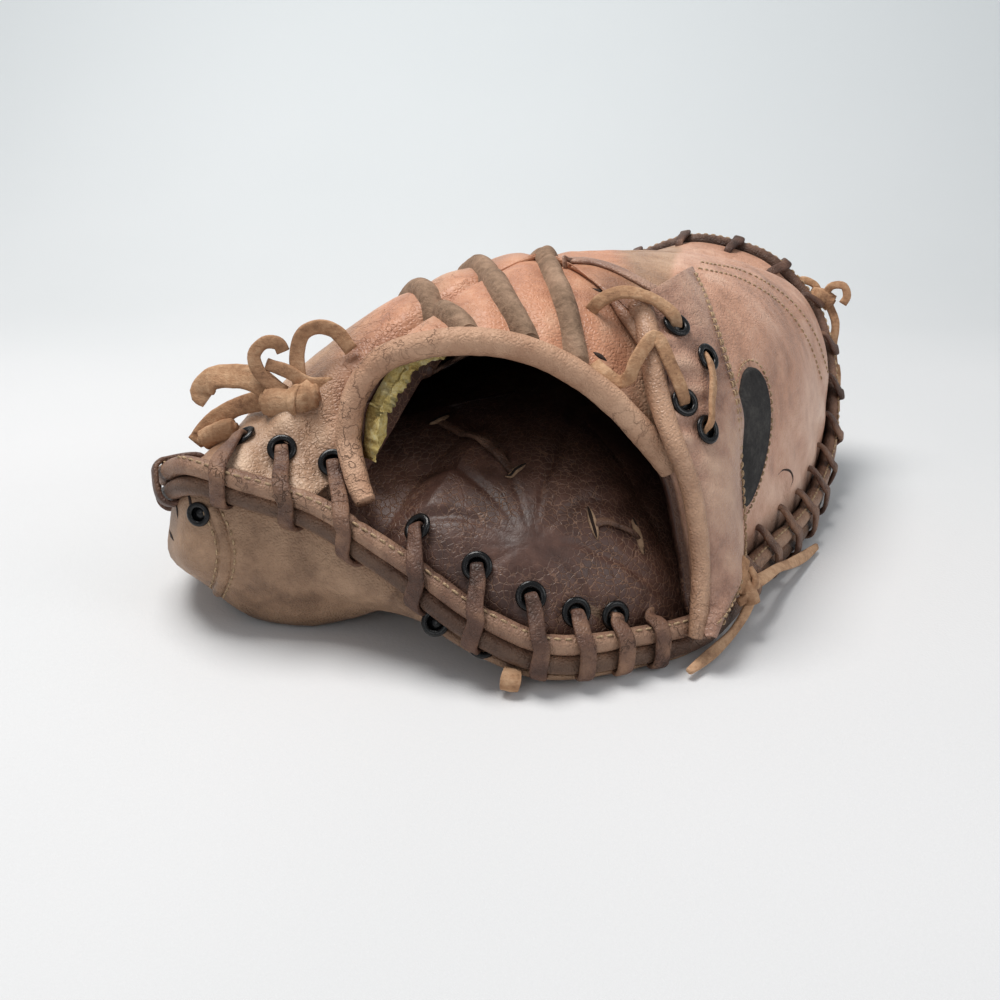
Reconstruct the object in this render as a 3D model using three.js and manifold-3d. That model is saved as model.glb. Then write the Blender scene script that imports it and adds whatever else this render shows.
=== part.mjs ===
// A worn leather catcher's mitt, closed round its pocket and lying palm down with the hand opening towards the
// viewer. Millimetres. +X runs to the thumb side, +Y from the heel to the toe, and +Z up from what it lies on.
import * as THREE from 'three';
import { mergeVertices } from 'three/addons/utils/BufferGeometryUtils.js';
import Module from 'manifold-3d';

const wasm = await Module();
wasm.setup();

// Driving dimensions of the leather and the lacing
const SHELL = 3;              // back, thumb and strap leather, thickness
const LINER = 2;              // palm lining, thickness
const ROLL_RADIUS = 3.2;      // the two rolled edges that the laces grip
const ROLL_RISE = 3.45;       // each roll's centre above or below the seam
const EDGE_IN = 4;            // where a panel's edge butts against its roll, inward of the seam
const CLEAR = 0.3;            // gap left between neighbouring pieces
const LACE_WIDTH = 5.6;
const LACE_THICK = 1.8;
const WRAP = ROLL_RADIUS + LACE_THICK / 2 + 0.7;   // a lace's centreline round a roll's centre
const LACE_PITCH = 62;        // between the whips round the rim
const EYELET = { bore: 2.75, barrel: 3.35, flange: 4.9, sides: 7 };
const BINDING_RADIUS = 3.9;
const WELT_RADIUS = 4.4;
const FLEECE = 3.6;
const PATCH = 1;              // moulded oval on the thumb side, thickness

// The hub is the upright line that every panel's sections run in to
const HUB = { x: 15, y: 90 };
const CREST_Z = 121;          // top of the hand's back
const FLOOR_Z = 70;           // top of the palm lining inside
const POCKET_Z = 46;          // roof of the ball pocket beneath

// A table's rows as objects with named columns
const table = (columns, rows) =>
  rows.map((row) => Object.fromEntries(columns.map((name, i) => [name, row[i]])));

// The laced seam. dome is how full the back is above it, bulge how far the pad swells past it, tread the height of the
// pad's underside, and foot and lip where the underside starts and ends, inward of the seam.
const SEAM = ['x', 'y', 'z', 'dome', 'bulge', 'tread', 'foot', 'lip'];
const sides = table(SEAM, [
  [70, 12, 9, 2.2, 0, 0, 6, 22],
  [97, 55, 10, 2.6, 0, 0, 6, 26],
  [128, 103, 10, 2.8, 0, 0, 6, 28],
  [148, 148, 17, 2.6, 1, 0, 8, 30],
  [156, 181, 42, 2.2, 2, 12, 10, 32],
  [151, 202, 73, 1.6, 3, 34, 10, 34],
  [134, 212, 93, 0.42, 4, 50, 10, 34],
  [116, 219, 101, 0.18, 5, 56, 10, 34],
  [92, 224, 103, 0.2, 5, 58, 10, 34],
  [60, 234, 88, 0.2, 5, 48, 10, 34],
  [18, 228, 69, 0.45, 5, 30, 10, 34],
  [-28, 205, 52, 1.2, 5, 10, 12, 34],
  [-68, 172, 36, 1.2, 5, 0, 14, 34],
  [-100, 132, 28, 1.1, 5, 0, 14, 36],
  [-118, 90, 32, 1, 5, 0, 16, 38],
  [-121, 53, 44, 0.8, 2, 0, 18, 40],
  [-105, 27, 58, 0.65, 4, 0, 17, 42],
  [-82, 20, 54.5, 0.6, 4, 0, 13, 40],
  [-62, 16, 49, 0.6, 2, 5, 12, 34],
]);
const heel = table(SEAM, [
  [-46, 9, 42, 1, 1, 12, 10, 30],
  [-28, 0, 33, 1, 1, 13, 8, 28],
  [-8, -9, 21.5, 1, 1, 7, 6, 25],
  [15, -13, 12.5, 1, 0, 1, 6, 22],
  [43, -4, 10, 1, 0, 0, 6, 20],
]);
const seam = [...sides, ...heel];

// The bound edge of the hand opening, from its left foot over the hand to its right foot
const arch = table(['x', 'y', 'z', 'dome'], [
  [-51, 25.4, 55, 0.8],
  [-48.3, 27.1, 70, 0.9],
  [-46, 29, 83, 1],
  [-37, 30, 94.5, 1.1],
  [-19, 28, 100.5, 1.2],
  [0, 27, 100.5, 1.3],
  [17, 26, 95, 1.4],
  [33, 25, 84, 1.6],
  [47, 26, 69, 1.8],
  [58, 26, 54, 2],
  [64, 20, 30, 2.2],
]);
const backEdge = [...sides, ...arch];
const LEFT_FOOT = sides.length;
const HEEL_FROM = sides.length;

const steps = (count) => Array.from({ length: count + 1 }, (_, i) => i / count);
const between = (from, to, count) => steps(count).map((t) => from + (to - from) * t);
const vec = (x, y, z) => new THREE.Vector3(x, y, z);

// Values of a closed table at u, in rows, by a periodic Catmull-Rom curve
function valuesAt(rows, u) {
  const n = rows.length;
  const i = Math.floor(u);
  const t = u - i;
  const [a, b, c, d] = [-1, 0, 1, 2].map((k) => rows[(i + k + 2 * n) % n]);
  const mix = (key) =>
    0.5 * (2 * b[key] + (c[key] - a[key]) * t + (2 * a[key] - 5 * b[key] + 4 * c[key] - d[key]) * t * t
      + (3 * b[key] - a[key] - 3 * c[key] + d[key]) * t * t * t);
  return Object.fromEntries(Object.keys(b).map((key) => [key, mix(key)]));
}

// A row of a closed table, with the frame of the edge there: out looks away from the hub and lift up from the
// table's line, both square to it
function along(rows, u) {
  const row = valuesAt(rows, u);
  const [before, after] = [u - 0.05, u + 0.05].map((t) => valuesAt(rows, t));
  const forward = vec(after.x - before.x, after.y - before.y, after.z - before.z).normalize();
  const level = vec(row.x - HUB.x, row.y - HUB.y, 0).normalize();
  const out = level.clone().addScaledVector(forward, -level.dot(forward)).normalize();
  return { ...row, level, out, lift: out.clone().cross(forward) };
}

// A point beside a row's line, inward of it by inset and up from it by rise
const beside = (row, inset, rise) =>
  vec(row.x, row.y, row.z).addScaledVector(row.out, -inset).addScaledVector(row.lift, rise);

// A point level towards the hub from a row, at height z
const below = (row, inset, z) => vec(row.x, row.y, z).addScaledVector(row.level, -inset);

// From an edge point, v 0, to the hub at height top, v 1. The curve is boxy where full is over 2, round at 2, and
// under 1 it leaves the edge flat and rises later, as a bell does.
function swell(edge, top, full, v) {
  const power = Math.max(2, full);
  const over = 1 - Math.cos((v * Math.PI) / 2) ** (2 / power);
  const up = (1 - (1 - over) ** power) ** (1 / Math.max(0.15, full));
  return vec(edge.x + (HUB.x - edge.x) * over, edge.y + (HUB.y - edge.y) * over, edge.z + (top - edge.z) * up);
}

const onBack = (u, v) => {
  const row = along(backEdge, u);
  return swell(beside(row, EDGE_IN, ROLL_RISE), CREST_Z, row.dome, v);
};

// How far inside the seam the lining starts: at the upper roll along the heel, under the back along the sides
function linerSeat(u) {
  const side = Math.max(0, Math.min(1, Math.max((HEEL_FROM + 0.8 - u) / 0.6, u - seam.length + 1)));
  return { inset: EDGE_IN + 12 * side, rise: ROLL_RISE - 5.4 * side, full: 1.8 - 0.5 * side };
}

const onLiner = (u, v, sink = 0) => {
  const seat = linerSeat(u % seam.length);
  const edge = beside(along(seam, u), seat.inset, seat.rise);
  return swell(edge.setZ(edge.z - sink), FLOOR_Z - sink, seat.full, v);
};

// Unit normal of a surface, pointing out of its upper face
function normalOf(surface, u, v) {
  const step = 0.02;
  const inner = Math.min(0.94, Math.max(0.05, v));
  const du = surface(u + step, inner).sub(surface(u - step, inner));
  const dv = surface(u, inner + step).sub(surface(u, inner - step));
  return du.cross(dv).normalize();
}

const above = (surface, u, v, height) => surface(u, v).addScaledVector(normalOf(surface, u, v), height);

// A closed mesh from points and triangles, without triangles that have shrunk to nothing
function solid(points, triangles) {
  const geometry = new THREE.BufferGeometry();
  const numbers = new Float32Array(points.flatMap((p) => p.toArray()));
  geometry.setAttribute('position', new THREE.BufferAttribute(numbers, 3));
  geometry.setIndex(triangles.flat());
  const merged = mergeVertices(geometry, 1e-3);
  const index = merged.index.array;
  const kept = [];
  for (let i = 0; i < index.length; i += 3) {
    const [a, b, c] = index.slice(i, i + 3);
    if (a !== b && b !== c && a !== c) kept.push(a, b, c);
  }
  merged.setIndex(kept);
  return merged;
}

// A library shape as bare points and triangles
function bare(geometry) {
  geometry.deleteAttribute('normal');
  geometry.deleteAttribute('uv');
  return mergeVertices(geometry, 1e-3);
}

// The two triangles of a four-sided face, split along its shorter diagonal
function split(points, a, b, c, d) {
  const first = points[a].distanceTo(points[c]) <= points[b].distanceTo(points[d]);
  return first ? [[a, b, c], [a, c, d]] : [[a, b, d], [b, c, d]];
}

// A closed body round the hub: each column is a line of points from its upper pole to its lower pole. Its faces are
// split as those of like would be, so that bodies grown from one another keep the same facets.
function spindle(columns, like = columns) {
  const rows = columns[0].length;
  const model = like.flat();
  const at = (i, k) => (i % columns.length) * rows + k;
  const triangles = columns.flatMap((column, i) =>
    column.slice(1).flatMap((_, k) => split(model, at(i, k), at(i, k + 1), at(i + 1, k + 1), at(i + 1, k))));
  return solid(columns.flat(), triangles);
}

// A sheet with thickness: upper[i][k] and lower[i][k] are its two faces, and its rim is closed between them
function slab(upper, lower) {
  const rows = upper[0].length;
  const last = upper.length - 1;
  const points = [...upper.flat(), ...lower.flat()];
  const at = (i, k, face) => i * rows + k + face * upper.length * rows;
  const triangles = [];
  const quad = (a, b, c, d) => triangles.push(...split(points, a, b, c, d));
  for (let i = 0; i < last; i += 1) {
    for (let k = 0; k < rows - 1; k += 1) {
      quad(at(i, k, 0), at(i + 1, k, 0), at(i + 1, k + 1, 0), at(i, k + 1, 0));
      quad(at(i, k, 1), at(i, k + 1, 1), at(i + 1, k + 1, 1), at(i + 1, k, 1));
    }
    quad(at(i, 0, 0), at(i, 0, 1), at(i + 1, 0, 1), at(i + 1, 0, 0));
    quad(at(i, rows - 1, 0), at(i + 1, rows - 1, 0), at(i + 1, rows - 1, 1), at(i, rows - 1, 1));
  }
  for (let k = 0; k < rows - 1; k += 1) {
    quad(at(0, k, 0), at(0, k + 1, 0), at(0, k + 1, 1), at(0, k, 1));
    quad(at(last, k, 0), at(last, k, 1), at(last, k + 1, 1), at(last, k + 1, 0));
  }
  return solid(points, triangles);
}

// A body swept along a path. Each place has a point, the direction its outer face looks, and a scale for its section.
function sweep(places, section, closed = false) {
  const count = places.length;
  const rings = places.map(({ point, out, scale = 1 }, i) => {
    const before = places[closed ? (i + count - 1) % count : Math.max(0, i - 1)].point;
    const after = places[closed ? (i + 1) % count : Math.min(count - 1, i + 1)].point;
    const forward = after.clone().sub(before).normalize();
    const across = forward.clone().cross(out).normalize();
    const up = across.clone().cross(forward);
    return section.map(([a, b]) =>
      point.clone().addScaledVector(across, a * scale).addScaledVector(up, b * scale));
  });
  const n = section.length;
  const at = (i, j) => (i % count) * n + (j % n);
  const triangles = [];
  for (let i = 0; i < (closed ? count : count - 1); i += 1) {
    for (let j = 0; j < n; j += 1) {
      triangles.push([at(i, j), at(i + 1, j), at(i + 1, j + 1)], [at(i, j), at(i + 1, j + 1), at(i, j + 1)]);
    }
  }
  if (!closed) {
    for (let j = 1; j < n - 1; j += 1) {
      triangles.push([at(0, 0), at(0, j), at(0, j + 1)], [at(count - 1, 0), at(count - 1, j + 1), at(count - 1, j)]);
    }
  }
  return solid(rings.flat(), triangles);
}

const round = (radius, sides = 8) =>
  steps(sides).slice(1).map((t) => [radius * Math.cos(t * 2 * Math.PI), radius * Math.sin(t * 2 * Math.PI)]);
const flat = (width, thick) =>
  [[-width / 2, -thick / 2], [width / 2, -thick / 2], [width / 2, thick / 2], [-width / 2, thick / 2]];
const lace = (grow = 0) => flat(LACE_WIDTH + 2 * grow, LACE_THICK + 2 * grow);

// Points of a smooth curve through hand-placed points
const curved = (points, count) =>
  new THREE.CatmullRomCurve3(points.map((p) => vec(...p)), false, 'centripetal').getPoints(count);

// Cutting and joining closed meshes
function toBody(geometry) {
  const mesh = new wasm.Mesh({
    numProp: 3,
    vertProperties: new Float32Array(geometry.attributes.position.array),
    triVerts: new Uint32Array(geometry.index.array),
  });
  return new wasm.Manifold(mesh);
}
function fromBody(body) {
  const { vertProperties, triVerts, numProp } = body.getMesh();
  const points = Array.from({ length: vertProperties.length / numProp }, (_, i) =>
    vec(...vertProperties.slice(i * numProp, i * numProp + 3)));
  const triangles = Array.from({ length: triVerts.length / 3 }, (_, i) => [...triVerts.slice(3 * i, 3 * i + 3)]);
  return solid(points, triangles);
}
const cut = (geometry, cutters) =>
  fromBody(cutters.reduce((body, cutter) => body.subtract(toBody(cutter)), toBody(geometry)));
const join = (geometries) =>
  fromBody(geometries.slice(1).reduce((body, other) => body.add(toBody(other)), toBody(geometries[0])));
const common = (geometry, other) => fromBody(toBody(geometry).intersect(toBody(other)));

// The largest connected part of a mesh, without the crumbs that a cut leaves
function mainPart(geometry) {
  const index = Array.from(geometry.index.array);
  const parent = Array.from({ length: geometry.attributes.position.count }, (_, i) => i);
  const find = (i) => (parent[i] === i ? i : (parent[i] = find(parent[i])));
  const size = new Map();
  for (let i = 0; i < index.length; i += 3) {
    parent[find(index[i])] = find(index[i + 1]);
    parent[find(index[i + 1])] = find(index[i + 2]);
  }
  index.forEach((i) => size.set(find(i), (size.get(find(i)) ?? 0) + 1));
  const [largest] = [...size].sort((a, b) => b[1] - a[1])[0];
  const points = parent.map((_, i) => new THREE.Vector3().fromBufferAttribute(geometry.attributes.position, i));
  const faces = Array.from({ length: index.length / 3 }, (_, i) => index.slice(3 * i, 3 * i + 3));
  const kept = faces.filter(([i]) => find(i) === largest).flat();
  const used = [...new Set(kept)];
  const renumbered = new Map(used.map((from, to) => [from, to]));
  return solid(used.map((i) => points[i]), [kept.map((i) => renumbered.get(i))]);
}

const mitt = new THREE.Group();
const tan = new THREE.MeshStandardMaterial({ color: 0xb87a58, roughness: 0.55 });
const brown = new THREE.MeshStandardMaterial({ color: 0x8c6650, roughness: 0.6 });
const dark = new THREE.MeshStandardMaterial({ color: 0x4a2f24, roughness: 0.5 });
const lacing = new THREE.MeshStandardMaterial({ color: 0x7b5a3e, roughness: 0.8 });
const wool = new THREE.MeshStandardMaterial({ color: 0xd2c68a, roughness: 0.95 });
const black = new THREE.MeshStandardMaterial({ color: 0x1b1b1d, roughness: 0.3 });

function add(name, geometry, material) {
  const mesh = new THREE.Mesh(geometry, material);
  mesh.name = name;
  mitt.add(mesh);
  return mesh;
}

const RING = 29;              // sections round the seam
const ringSteps = steps(RING).slice(1).map((t) => t * seam.length);
const LINER_ROWS = [0, 0.18, 0.46, 1];
const POCKET_ROWS = [0, 0.45, 1];

// Palm pad: one padded body, with the lining's bed above and the ball pocket below. Beside the toe and the thumb a
// channel is left under the lower roll for the rim lace.
const LACED_TO = 13.5;
function palmPad() {
  const sink = LINER + CLEAR;
  return spindle(ringSteps.map((u) => {
    const row = along(seam, u);
    const reach = Math.hypot(HUB.x - row.x, HUB.y - row.y);
    const tread = Math.max(0, row.tread);
    const open = Math.max(0, Math.min(1, 2 * u - 1, 2 * (LACED_TO - u)));
    const under = beside(row, 1.2 + 0.8 * open, -ROLL_RISE - ROLL_RADIUS - 0.45 - 2.1 * open);
    const lip = below(row, Math.min(row.lip, reach - 20), tread);
    return [
      ...[...LINER_ROWS].reverse().map((v) => onLiner(u, v, sink)),
      beside(row, EDGE_IN + 3.8 * open, -ROLL_RISE - 1.2),
      under,
      below(row, -Math.max(0, row.bulge), (under.z + tread) / 2),
      below(row, row.foot, tread),
      ...POCKET_ROWS.map((v) => swell(lip, POCKET_Z, 2.2, v)),
    ];
  }));
}

// Palm lining: the dark sheet that forms the floor of the hand opening, thicker on top by grow
function palmLiner(grow = 0) {
  const columns = (more) => ringSteps.map((u) => [
    ...[...LINER_ROWS].reverse().map((v) => onLiner(u, v, -more)),
    ...LINER_ROWS.map((v) => onLiner(u, v, LINER)),
  ]);
  return spindle(columns(grow), columns(0));
}

const BACK_ROWS = [0, 0.12, 0.26, 0.42, 0.6, 0.8];

// The whole back as one shell, from the seam and the hand opening up to the hub, thicker on both faces by grow
function backShell(grow, thick = SHELL) {
  const us = [0, ...ringSteps.filter((u) => u < LEFT_FOOT - 0.1), ...arch.map((_, i) => LEFT_FOOT + i)];
  const columns = (more, depth) => us.map((u) => [
    vec(HUB.x, HUB.y, CREST_Z + more),
    ...[...BACK_ROWS].reverse().map((v) => above(onBack, u, v, more)),
    ...BACK_ROWS.map((v) => above(onBack, u, v, -depth - more)),
    vec(HUB.x, HUB.y, CREST_Z - depth - more),
  ]);
  return spindle(columns(grow, thick), columns(0, SHELL));
}

// A point over a mesh, along its own line of sight: where the line from far outside meets the mesh, raised by height
function seated(mesh, { point, normal }, height) {
  const from = point.clone().addScaledVector(normal, 30);
  const [hit] = new THREE.Raycaster(from, normal.clone().negate()).intersectObject(mesh);
  return (hit ? hit.point : point.clone()).addScaledVector(normal, height);
}

// Plan outline of the thumb panel, open to the outer side
function thumbPrism(shift) {
  const seamLine = [[55.5, -5], [55.5, 30], [60, 60], [64, 90], [72, 125], [82, 170], [90, 240]];
  const outline = [...seamLine.map(([x, y]) => [x + shift, y]), [230, 260], [230, -40], [80, -40]];
  const shape = new THREE.Shape(outline.map(([x, y]) => new THREE.Vector2(x, y)));
  return bare(new THREE.ExtrudeGeometry(shape, { depth: 180, bevelEnabled: false }).translate(0, 0, -20));
}

// The two rolled edges that follow the seam all the way round
function roll(rise, grow = 0) {
  return sweep(ringSteps.map((u) => {
    const row = along(seam, u);
    return { point: beside(row, 0, rise), out: row.out };
  }), round(ROLL_RADIUS + grow, 6), true);
}

// Edge binding round the hand opening, from a foot beside the left end of the heel
const BINDING_FOOT = table(['x', 'y', 'z'], [[-44.2, 15.5, 53], [-47, 20, 58]]);
function archBinding(grow = 0) {
  const last = LEFT_FOOT + arch.length - 2.3;
  const run = between(LEFT_FOOT + 1, last, 16).map((u) => {
    const row = along(backEdge, u);
    return { point: beside(row, -0.5, ROLL_RISE - 0.6), out: row.out };
  });
  const foot = BINDING_FOOT.map(({ x, y, z }) => ({ point: vec(x, y, z), out: run[0].out, scale: 0.85 }));
  return sweep([...foot, ...run], round(BINDING_RADIUS + grow, 7));
}

// Wool lining under the back, behind the binding
function fleeceLining() {
  const us = steps(6).map((t) => LEFT_FOOT + 1 + 6 * t);
  const under = (depth) =>
    us.map((u) => BACK_ROWS.slice(0, 3).map((v) => above(onBack, u, v, -SHELL - CLEAR - depth)));
  return slab(under(0), under(FLEECE));
}

// Eyelets: a turned ring with a barrel, and the seat and hole that it needs
function turned(profile, sides) {
  const merged = bare(new THREE.LatheGeometry(profile.map(([r, h]) => new THREE.Vector2(r, h)), sides));
  const points = [];
  for (let i = 0; i < merged.attributes.position.count; i += 1) {
    points.push(new THREE.Vector3().fromBufferAttribute(merged.attributes.position, i));
  }
  const index = Array.from(merged.index.array);
  return solid(points, Array.from({ length: index.length / 3 }, (_, i) => index.slice(3 * i, 3 * i + 3)));
}
function placed(geometry, { point, normal }) {
  geometry.applyQuaternion(new THREE.Quaternion().setFromUnitVectors(vec(0, 1, 0), normal));
  return geometry.translate(point.x, point.y, point.z);
}
function eyelet(seat) {
  const { bore, barrel, flange } = EYELET;
  const profile = [[bore, -2.2], [barrel, -2.2], [barrel, CLEAR], [flange, CLEAR], [bore, 1.3], [bore, -2.2]];
  return placed(turned(profile, EYELET.sides), seat);
}
function eyeletHole(seat) {
  const radius = EYELET.barrel + CLEAR;
  return placed(turned([[0, -7], [radius, -7], [radius, 2], [0, 2]], EYELET.sides), seat);
}
function eyeletSeat(seat) {
  const radius = EYELET.flange + CLEAR;
  return placed(turned([[0, 0], [radius, 0], [radius, 3], [0, 3]], EYELET.sides), seat);
}

// Where a lace passes on its way: up through a hole, over its rim, round both rolls and back into the pad. It meets
// the rolls at grip and slants along the seam on its way down.
const SUNK = { inset: 5.7, rise: -5.7 };
function whip({ point, normal }, { grip, slant, rim }) {
  const at = (away, height) => point.clone().addScaledVector(leave, away).addScaledVector(normal, height);
  const first = along(seam, grip);
  const over = beside(first, 0, ROLL_RISE).addScaledVector(first.lift, WRAP);
  const leave = over.sub(point);
  leave.addScaledVector(normal, -leave.dot(normal));
  const reach = Math.max(1.5, Math.min(5, leave.length() - 6.5));
  leave.normalize();
  const start = (rim ? at(reach, 2.6) : at(0, 1.4)).sub(beside(first, 0, ROLL_RISE));
  const [across, up] = [-start.dot(first.out), start.dot(first.lift)];
  const steep = Math.PI - Math.atan2(up, across) - Math.acos(Math.min(1, WRAP / Math.hypot(across, up)));
  const down = [-25, -75, -122].map((degrees) => [-1, THREE.MathUtils.degToRad(degrees)]);
  const turns = [...between(steep, 0, Math.ceil(steep / 1.05)).map((angle) => [1, angle]), ...down];
  const wraps = turns.map(([side, angle], k) => {
    const row = along(seam, grip + (slant * k) / turns.length);
    const out = row.out.clone().multiplyScalar(Math.cos(angle)).addScaledVector(row.lift, Math.sin(angle));
    return { point: beside(row, 0, side * ROLL_RISE).addScaledVector(out, WRAP), out };
  });
  const end = along(seam, grip + slant);
  const back = leave.clone().negate();
  return [
    { point: at(0, -5), out: back.clone().addScaledVector(normal, -0.7), scale: 0.74 },
    { point: at(0, rim ? 1.8 : 1.4), out: back.clone().add(normal), scale: 0.74 },
    ...(rim ? [{ point: at(reach, 2.6), out: normal, scale: 0.9 }] : []),
    ...wraps,
    { point: beside(end, SUNK.inset, SUNK.rise), out: end.lift.clone().multiplyScalar(-1).sub(end.out), scale: 0.74 },
  ];
}

// One lace from its whips: each is swept on into the hole of the next, and all are joined
function laceThrough(whips, grow = 0) {
  return join(whips.map((places, i) => {
    const next = whips[i + 1];
    if (!next) return sweep(places, lace(grow));
    const tip = { ...next[0], point: next[0].point.clone().lerp(next[1].point, 0.25), scale: 0.66 };
    return sweep([...places, { ...next[0], scale: 0.7 }, tip], lace(grow));
  }));
}

// Heel lacing: the surface each eyelet is in and its place there, and how its lace runs on from it
const heelHoles = table(['surface', 'u', 'v', 'grip', 'slant', 'rim'], [
  [onBack, 15.94, 0.327, 16.5, 0.15, true],
  [onBack, 16.74, 0.32, 17.4, 0.45, true],
  [onBack, 17.55, 0.342, 18.5, 0.7, true],
  [onLiner, 19.8, 0.197, 19.95, 0.5, true],
  [onLiner, 20.85, 0.188, 20.9, 0.35, true],
  [onLiner, 21.72, 0.165, 21.8, 0.25, true],
  [onLiner, 22.38, 0.122, 22.38, 0.1, true],
  [onLiner, 22.86, 0.088, 22.83, 0.05, true],
  [onLiner, 23.38, 0.085, 23.28, 0.05, true],
]);
const seatOf = ({ surface, u, v }) => ({ point: surface(u, v), normal: normalOf(surface, u, v) });
const heelSeats = heelHoles.map(seatOf);
const heelWhips = heelHoles.map((hole, i) => whip(heelSeats[i], hole));

// Rim lacing: whips at an even pitch round the rest of the seam, through slits in the panels beside the roll
function evenly(from, to, pitch) {
  const fine = between(from, to, 400).map((u) => ({ u, point: beside(along(seam, u), 0, 0) }));
  const found = [from];
  let run = 0;
  for (let i = 1; i < fine.length; i += 1) {
    run += fine[i].point.distanceTo(fine[i - 1].point);
    if (run >= pitch) {
      found.push(fine[i].u);
      run = 0;
    }
  }
  return found;
}
const RIM_FROM = 0.75;
const RIM_TO = 15.2;
const SLIT_IN = 9;            // from the roll to a rim slit, over the panel's surface
function slitSeat(u) {
  const edge = onBack(u, 0);
  const v = between(0, 0.6, 120).find((t) => onBack(u, t).distanceTo(edge) >= SLIT_IN);
  return seatOf({ surface: onBack, u, v });
}
const rimWhips = evenly(RIM_FROM, RIM_TO, LACE_PITCH).map((u) =>
  whip(slitSeat(u), { grip: u, slant: 0.12, rim: false }));

// The spot on the back over a place in plan, with the back's normal there
function backAt(x, y) {
  const reach = Math.hypot(x - HUB.x, y - HUB.y);
  const heading = Math.atan2(y - HUB.y, x - HUB.x);
  const off = (u) => {
    const row = along(backEdge, u);
    const turn = Math.atan2(row.y - HUB.y, row.x - HUB.x) - heading;
    return Math.atan2(Math.sin(turn), Math.cos(turn));
  };
  const us = between(0, backEdge.length, 900);
  const u = us.reduce((best, next) => (Math.abs(off(next)) < Math.abs(off(best)) ? next : best));
  const row = along(backEdge, u);
  const edge = beside(row, EDGE_IN, ROLL_RISE);
  const left = Math.min(1, reach / Math.hypot(edge.x - HUB.x, edge.y - HUB.y));
  const v = Math.acos(left ** (Math.max(2, row.dome) / 2)) * (2 / Math.PI);
  return { point: onBack(u, v), normal: normalOf(onBack, u, v) };
}

const shell = backShell(0);
const shellMesh = new THREE.Mesh(shell, new THREE.MeshBasicMaterial({ side: THREE.DoubleSide }));
const clearOfBack = backShell(CLEAR, 5);

// Welts over the back: corded strips of suede sewn along the finger seams, from the binding to the toe
const WELT = [[-4.6, -1.5], [4.6, -1.5], [4.2, 1.4], [2.2, 3.3], [-2.2, 3.3], [-4.2, 1.4]];
const weltLines = [
  [[-12, 37], [-19.4, 52.7], [-29.6, 86.3], [-38, 118], [-48, 148], [-58, 172]],
  [[7.5, 36], [1.7, 50], [-2.5, 70], [-7.6, 96], [-14, 130], [-20, 165], [-26, 194]],
  [[24.5, 36], [22, 50.7], [19, 70], [17.4, 88], [15.5, 120], [14, 160], [16, 205]],
];
function welt(line) {
  const places = curved(line.map(([x, y]) => [x, y, 0]), 10).map(({ x, y }) => {
    const spot = backAt(x, y);
    return { point: seated(shellMesh, spot, 0), out: spot.normal };
  });
  return sweep(places, WELT);
}

// Wrist strap: a leaf of leather over the thumb side whose front edge is rolled. Each row crosses it, from a point on
// the front edge to one on the back edge.
const strapRows = table(['fx', 'fy', 'fz', 'bx', 'by', 'bz'], [
  [47, 53, 112.5, 71.6, 100, 115.7],
  [49, 46, 105.5, 75, 82, 106.5],
  [50.1, 36.4, 97.4, 79.4, 62, 91.1],
  [52.5, 27.7, 84, 83.8, 52, 73.7],
  [56.9, 19.7, 71.5, 84.1, 47, 59.6],
  [62.6, 15.4, 57.2, 86, 43.5, 38],
  [66.2, 10, 34.6, 85.6, 37.3, 28],
  [65.9, 4, 21, 82, 24.5, 22.6],
  [65.2, 0.5, 15, 73, 8, 17.5],
  [64.8, -1, 10.8, 67.2, 0.5, 10.6],
]);
const STRAP_BULGE = 4.5;
const ROLLED_EDGE = 4;        // radius of the strap's rolled front edge at its top
const frontEdge = new THREE.CatmullRomCurve3(strapRows.map(({ fx, fy, fz }) => vec(fx, fy, fz)));
const rearEdge = new THREE.CatmullRomCurve3(strapRows.map(({ bx, by, bz }) => vec(bx, by, bz)));
const edgeScale = (s) => 1 - 0.3 * s;
function onStrap(s, t) {
  const [front, rear] = [frontEdge, rearEdge].map((curve) => curve.getPoint(Math.min(1, Math.max(0, s))));
  const down = frontEdge.getTangent(Math.min(1, Math.max(0, s)));
  const out = down.cross(rear.clone().sub(front)).normalize();
  return front.lerp(rear, t).addScaledVector(out, STRAP_BULGE * 4 * t * (1 - t));
}
const strapNormal = (s, t) => {
  const ds = onStrap(Math.min(1, s + 0.02), t).sub(onStrap(Math.max(0, s - 0.02), t));
  return ds.cross(onStrap(s, t + 0.02).sub(onStrap(s, t - 0.02))).normalize();
};
const strapSteps = between(0.015, 0.965, 11);
function strapLeaf(grow = 0) {
  const face = (height) => strapSteps.map((s) => {
    const width = frontEdge.getPoint(s).distanceTo(rearEdge.getPoint(s));
    const from = (ROLLED_EDGE * edgeScale(s) + 2 * CLEAR) / width;
    return between(from, 1 + grow / width, 3).map((t) => onStrap(s, t).addScaledVector(strapNormal(s, t), height));
  });
  return slab(face(SHELL / 2 + grow), face(-SHELL / 2 - grow));
}
function strapRoll(grow = 0) {
  const places = [0, ...strapSteps, 1].map((s) =>
    ({ point: frontEdge.getPoint(s), out: strapNormal(s, 0.1), scale: edgeScale(s) }));
  return sweep(places, round(ROLLED_EDGE + grow, 7));
}
const strapHoles = table(['s', 't'], [[0.165, 0.27], [0.345, 0.18], [0.245, 0.54], [0.415, 0.33]]);
const strapSeats = strapHoles.map(({ s, t }) => ({
  point: onStrap(s, t).addScaledVector(strapNormal(s, t), SHELL / 2), normal: strapNormal(s, t) }));

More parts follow.
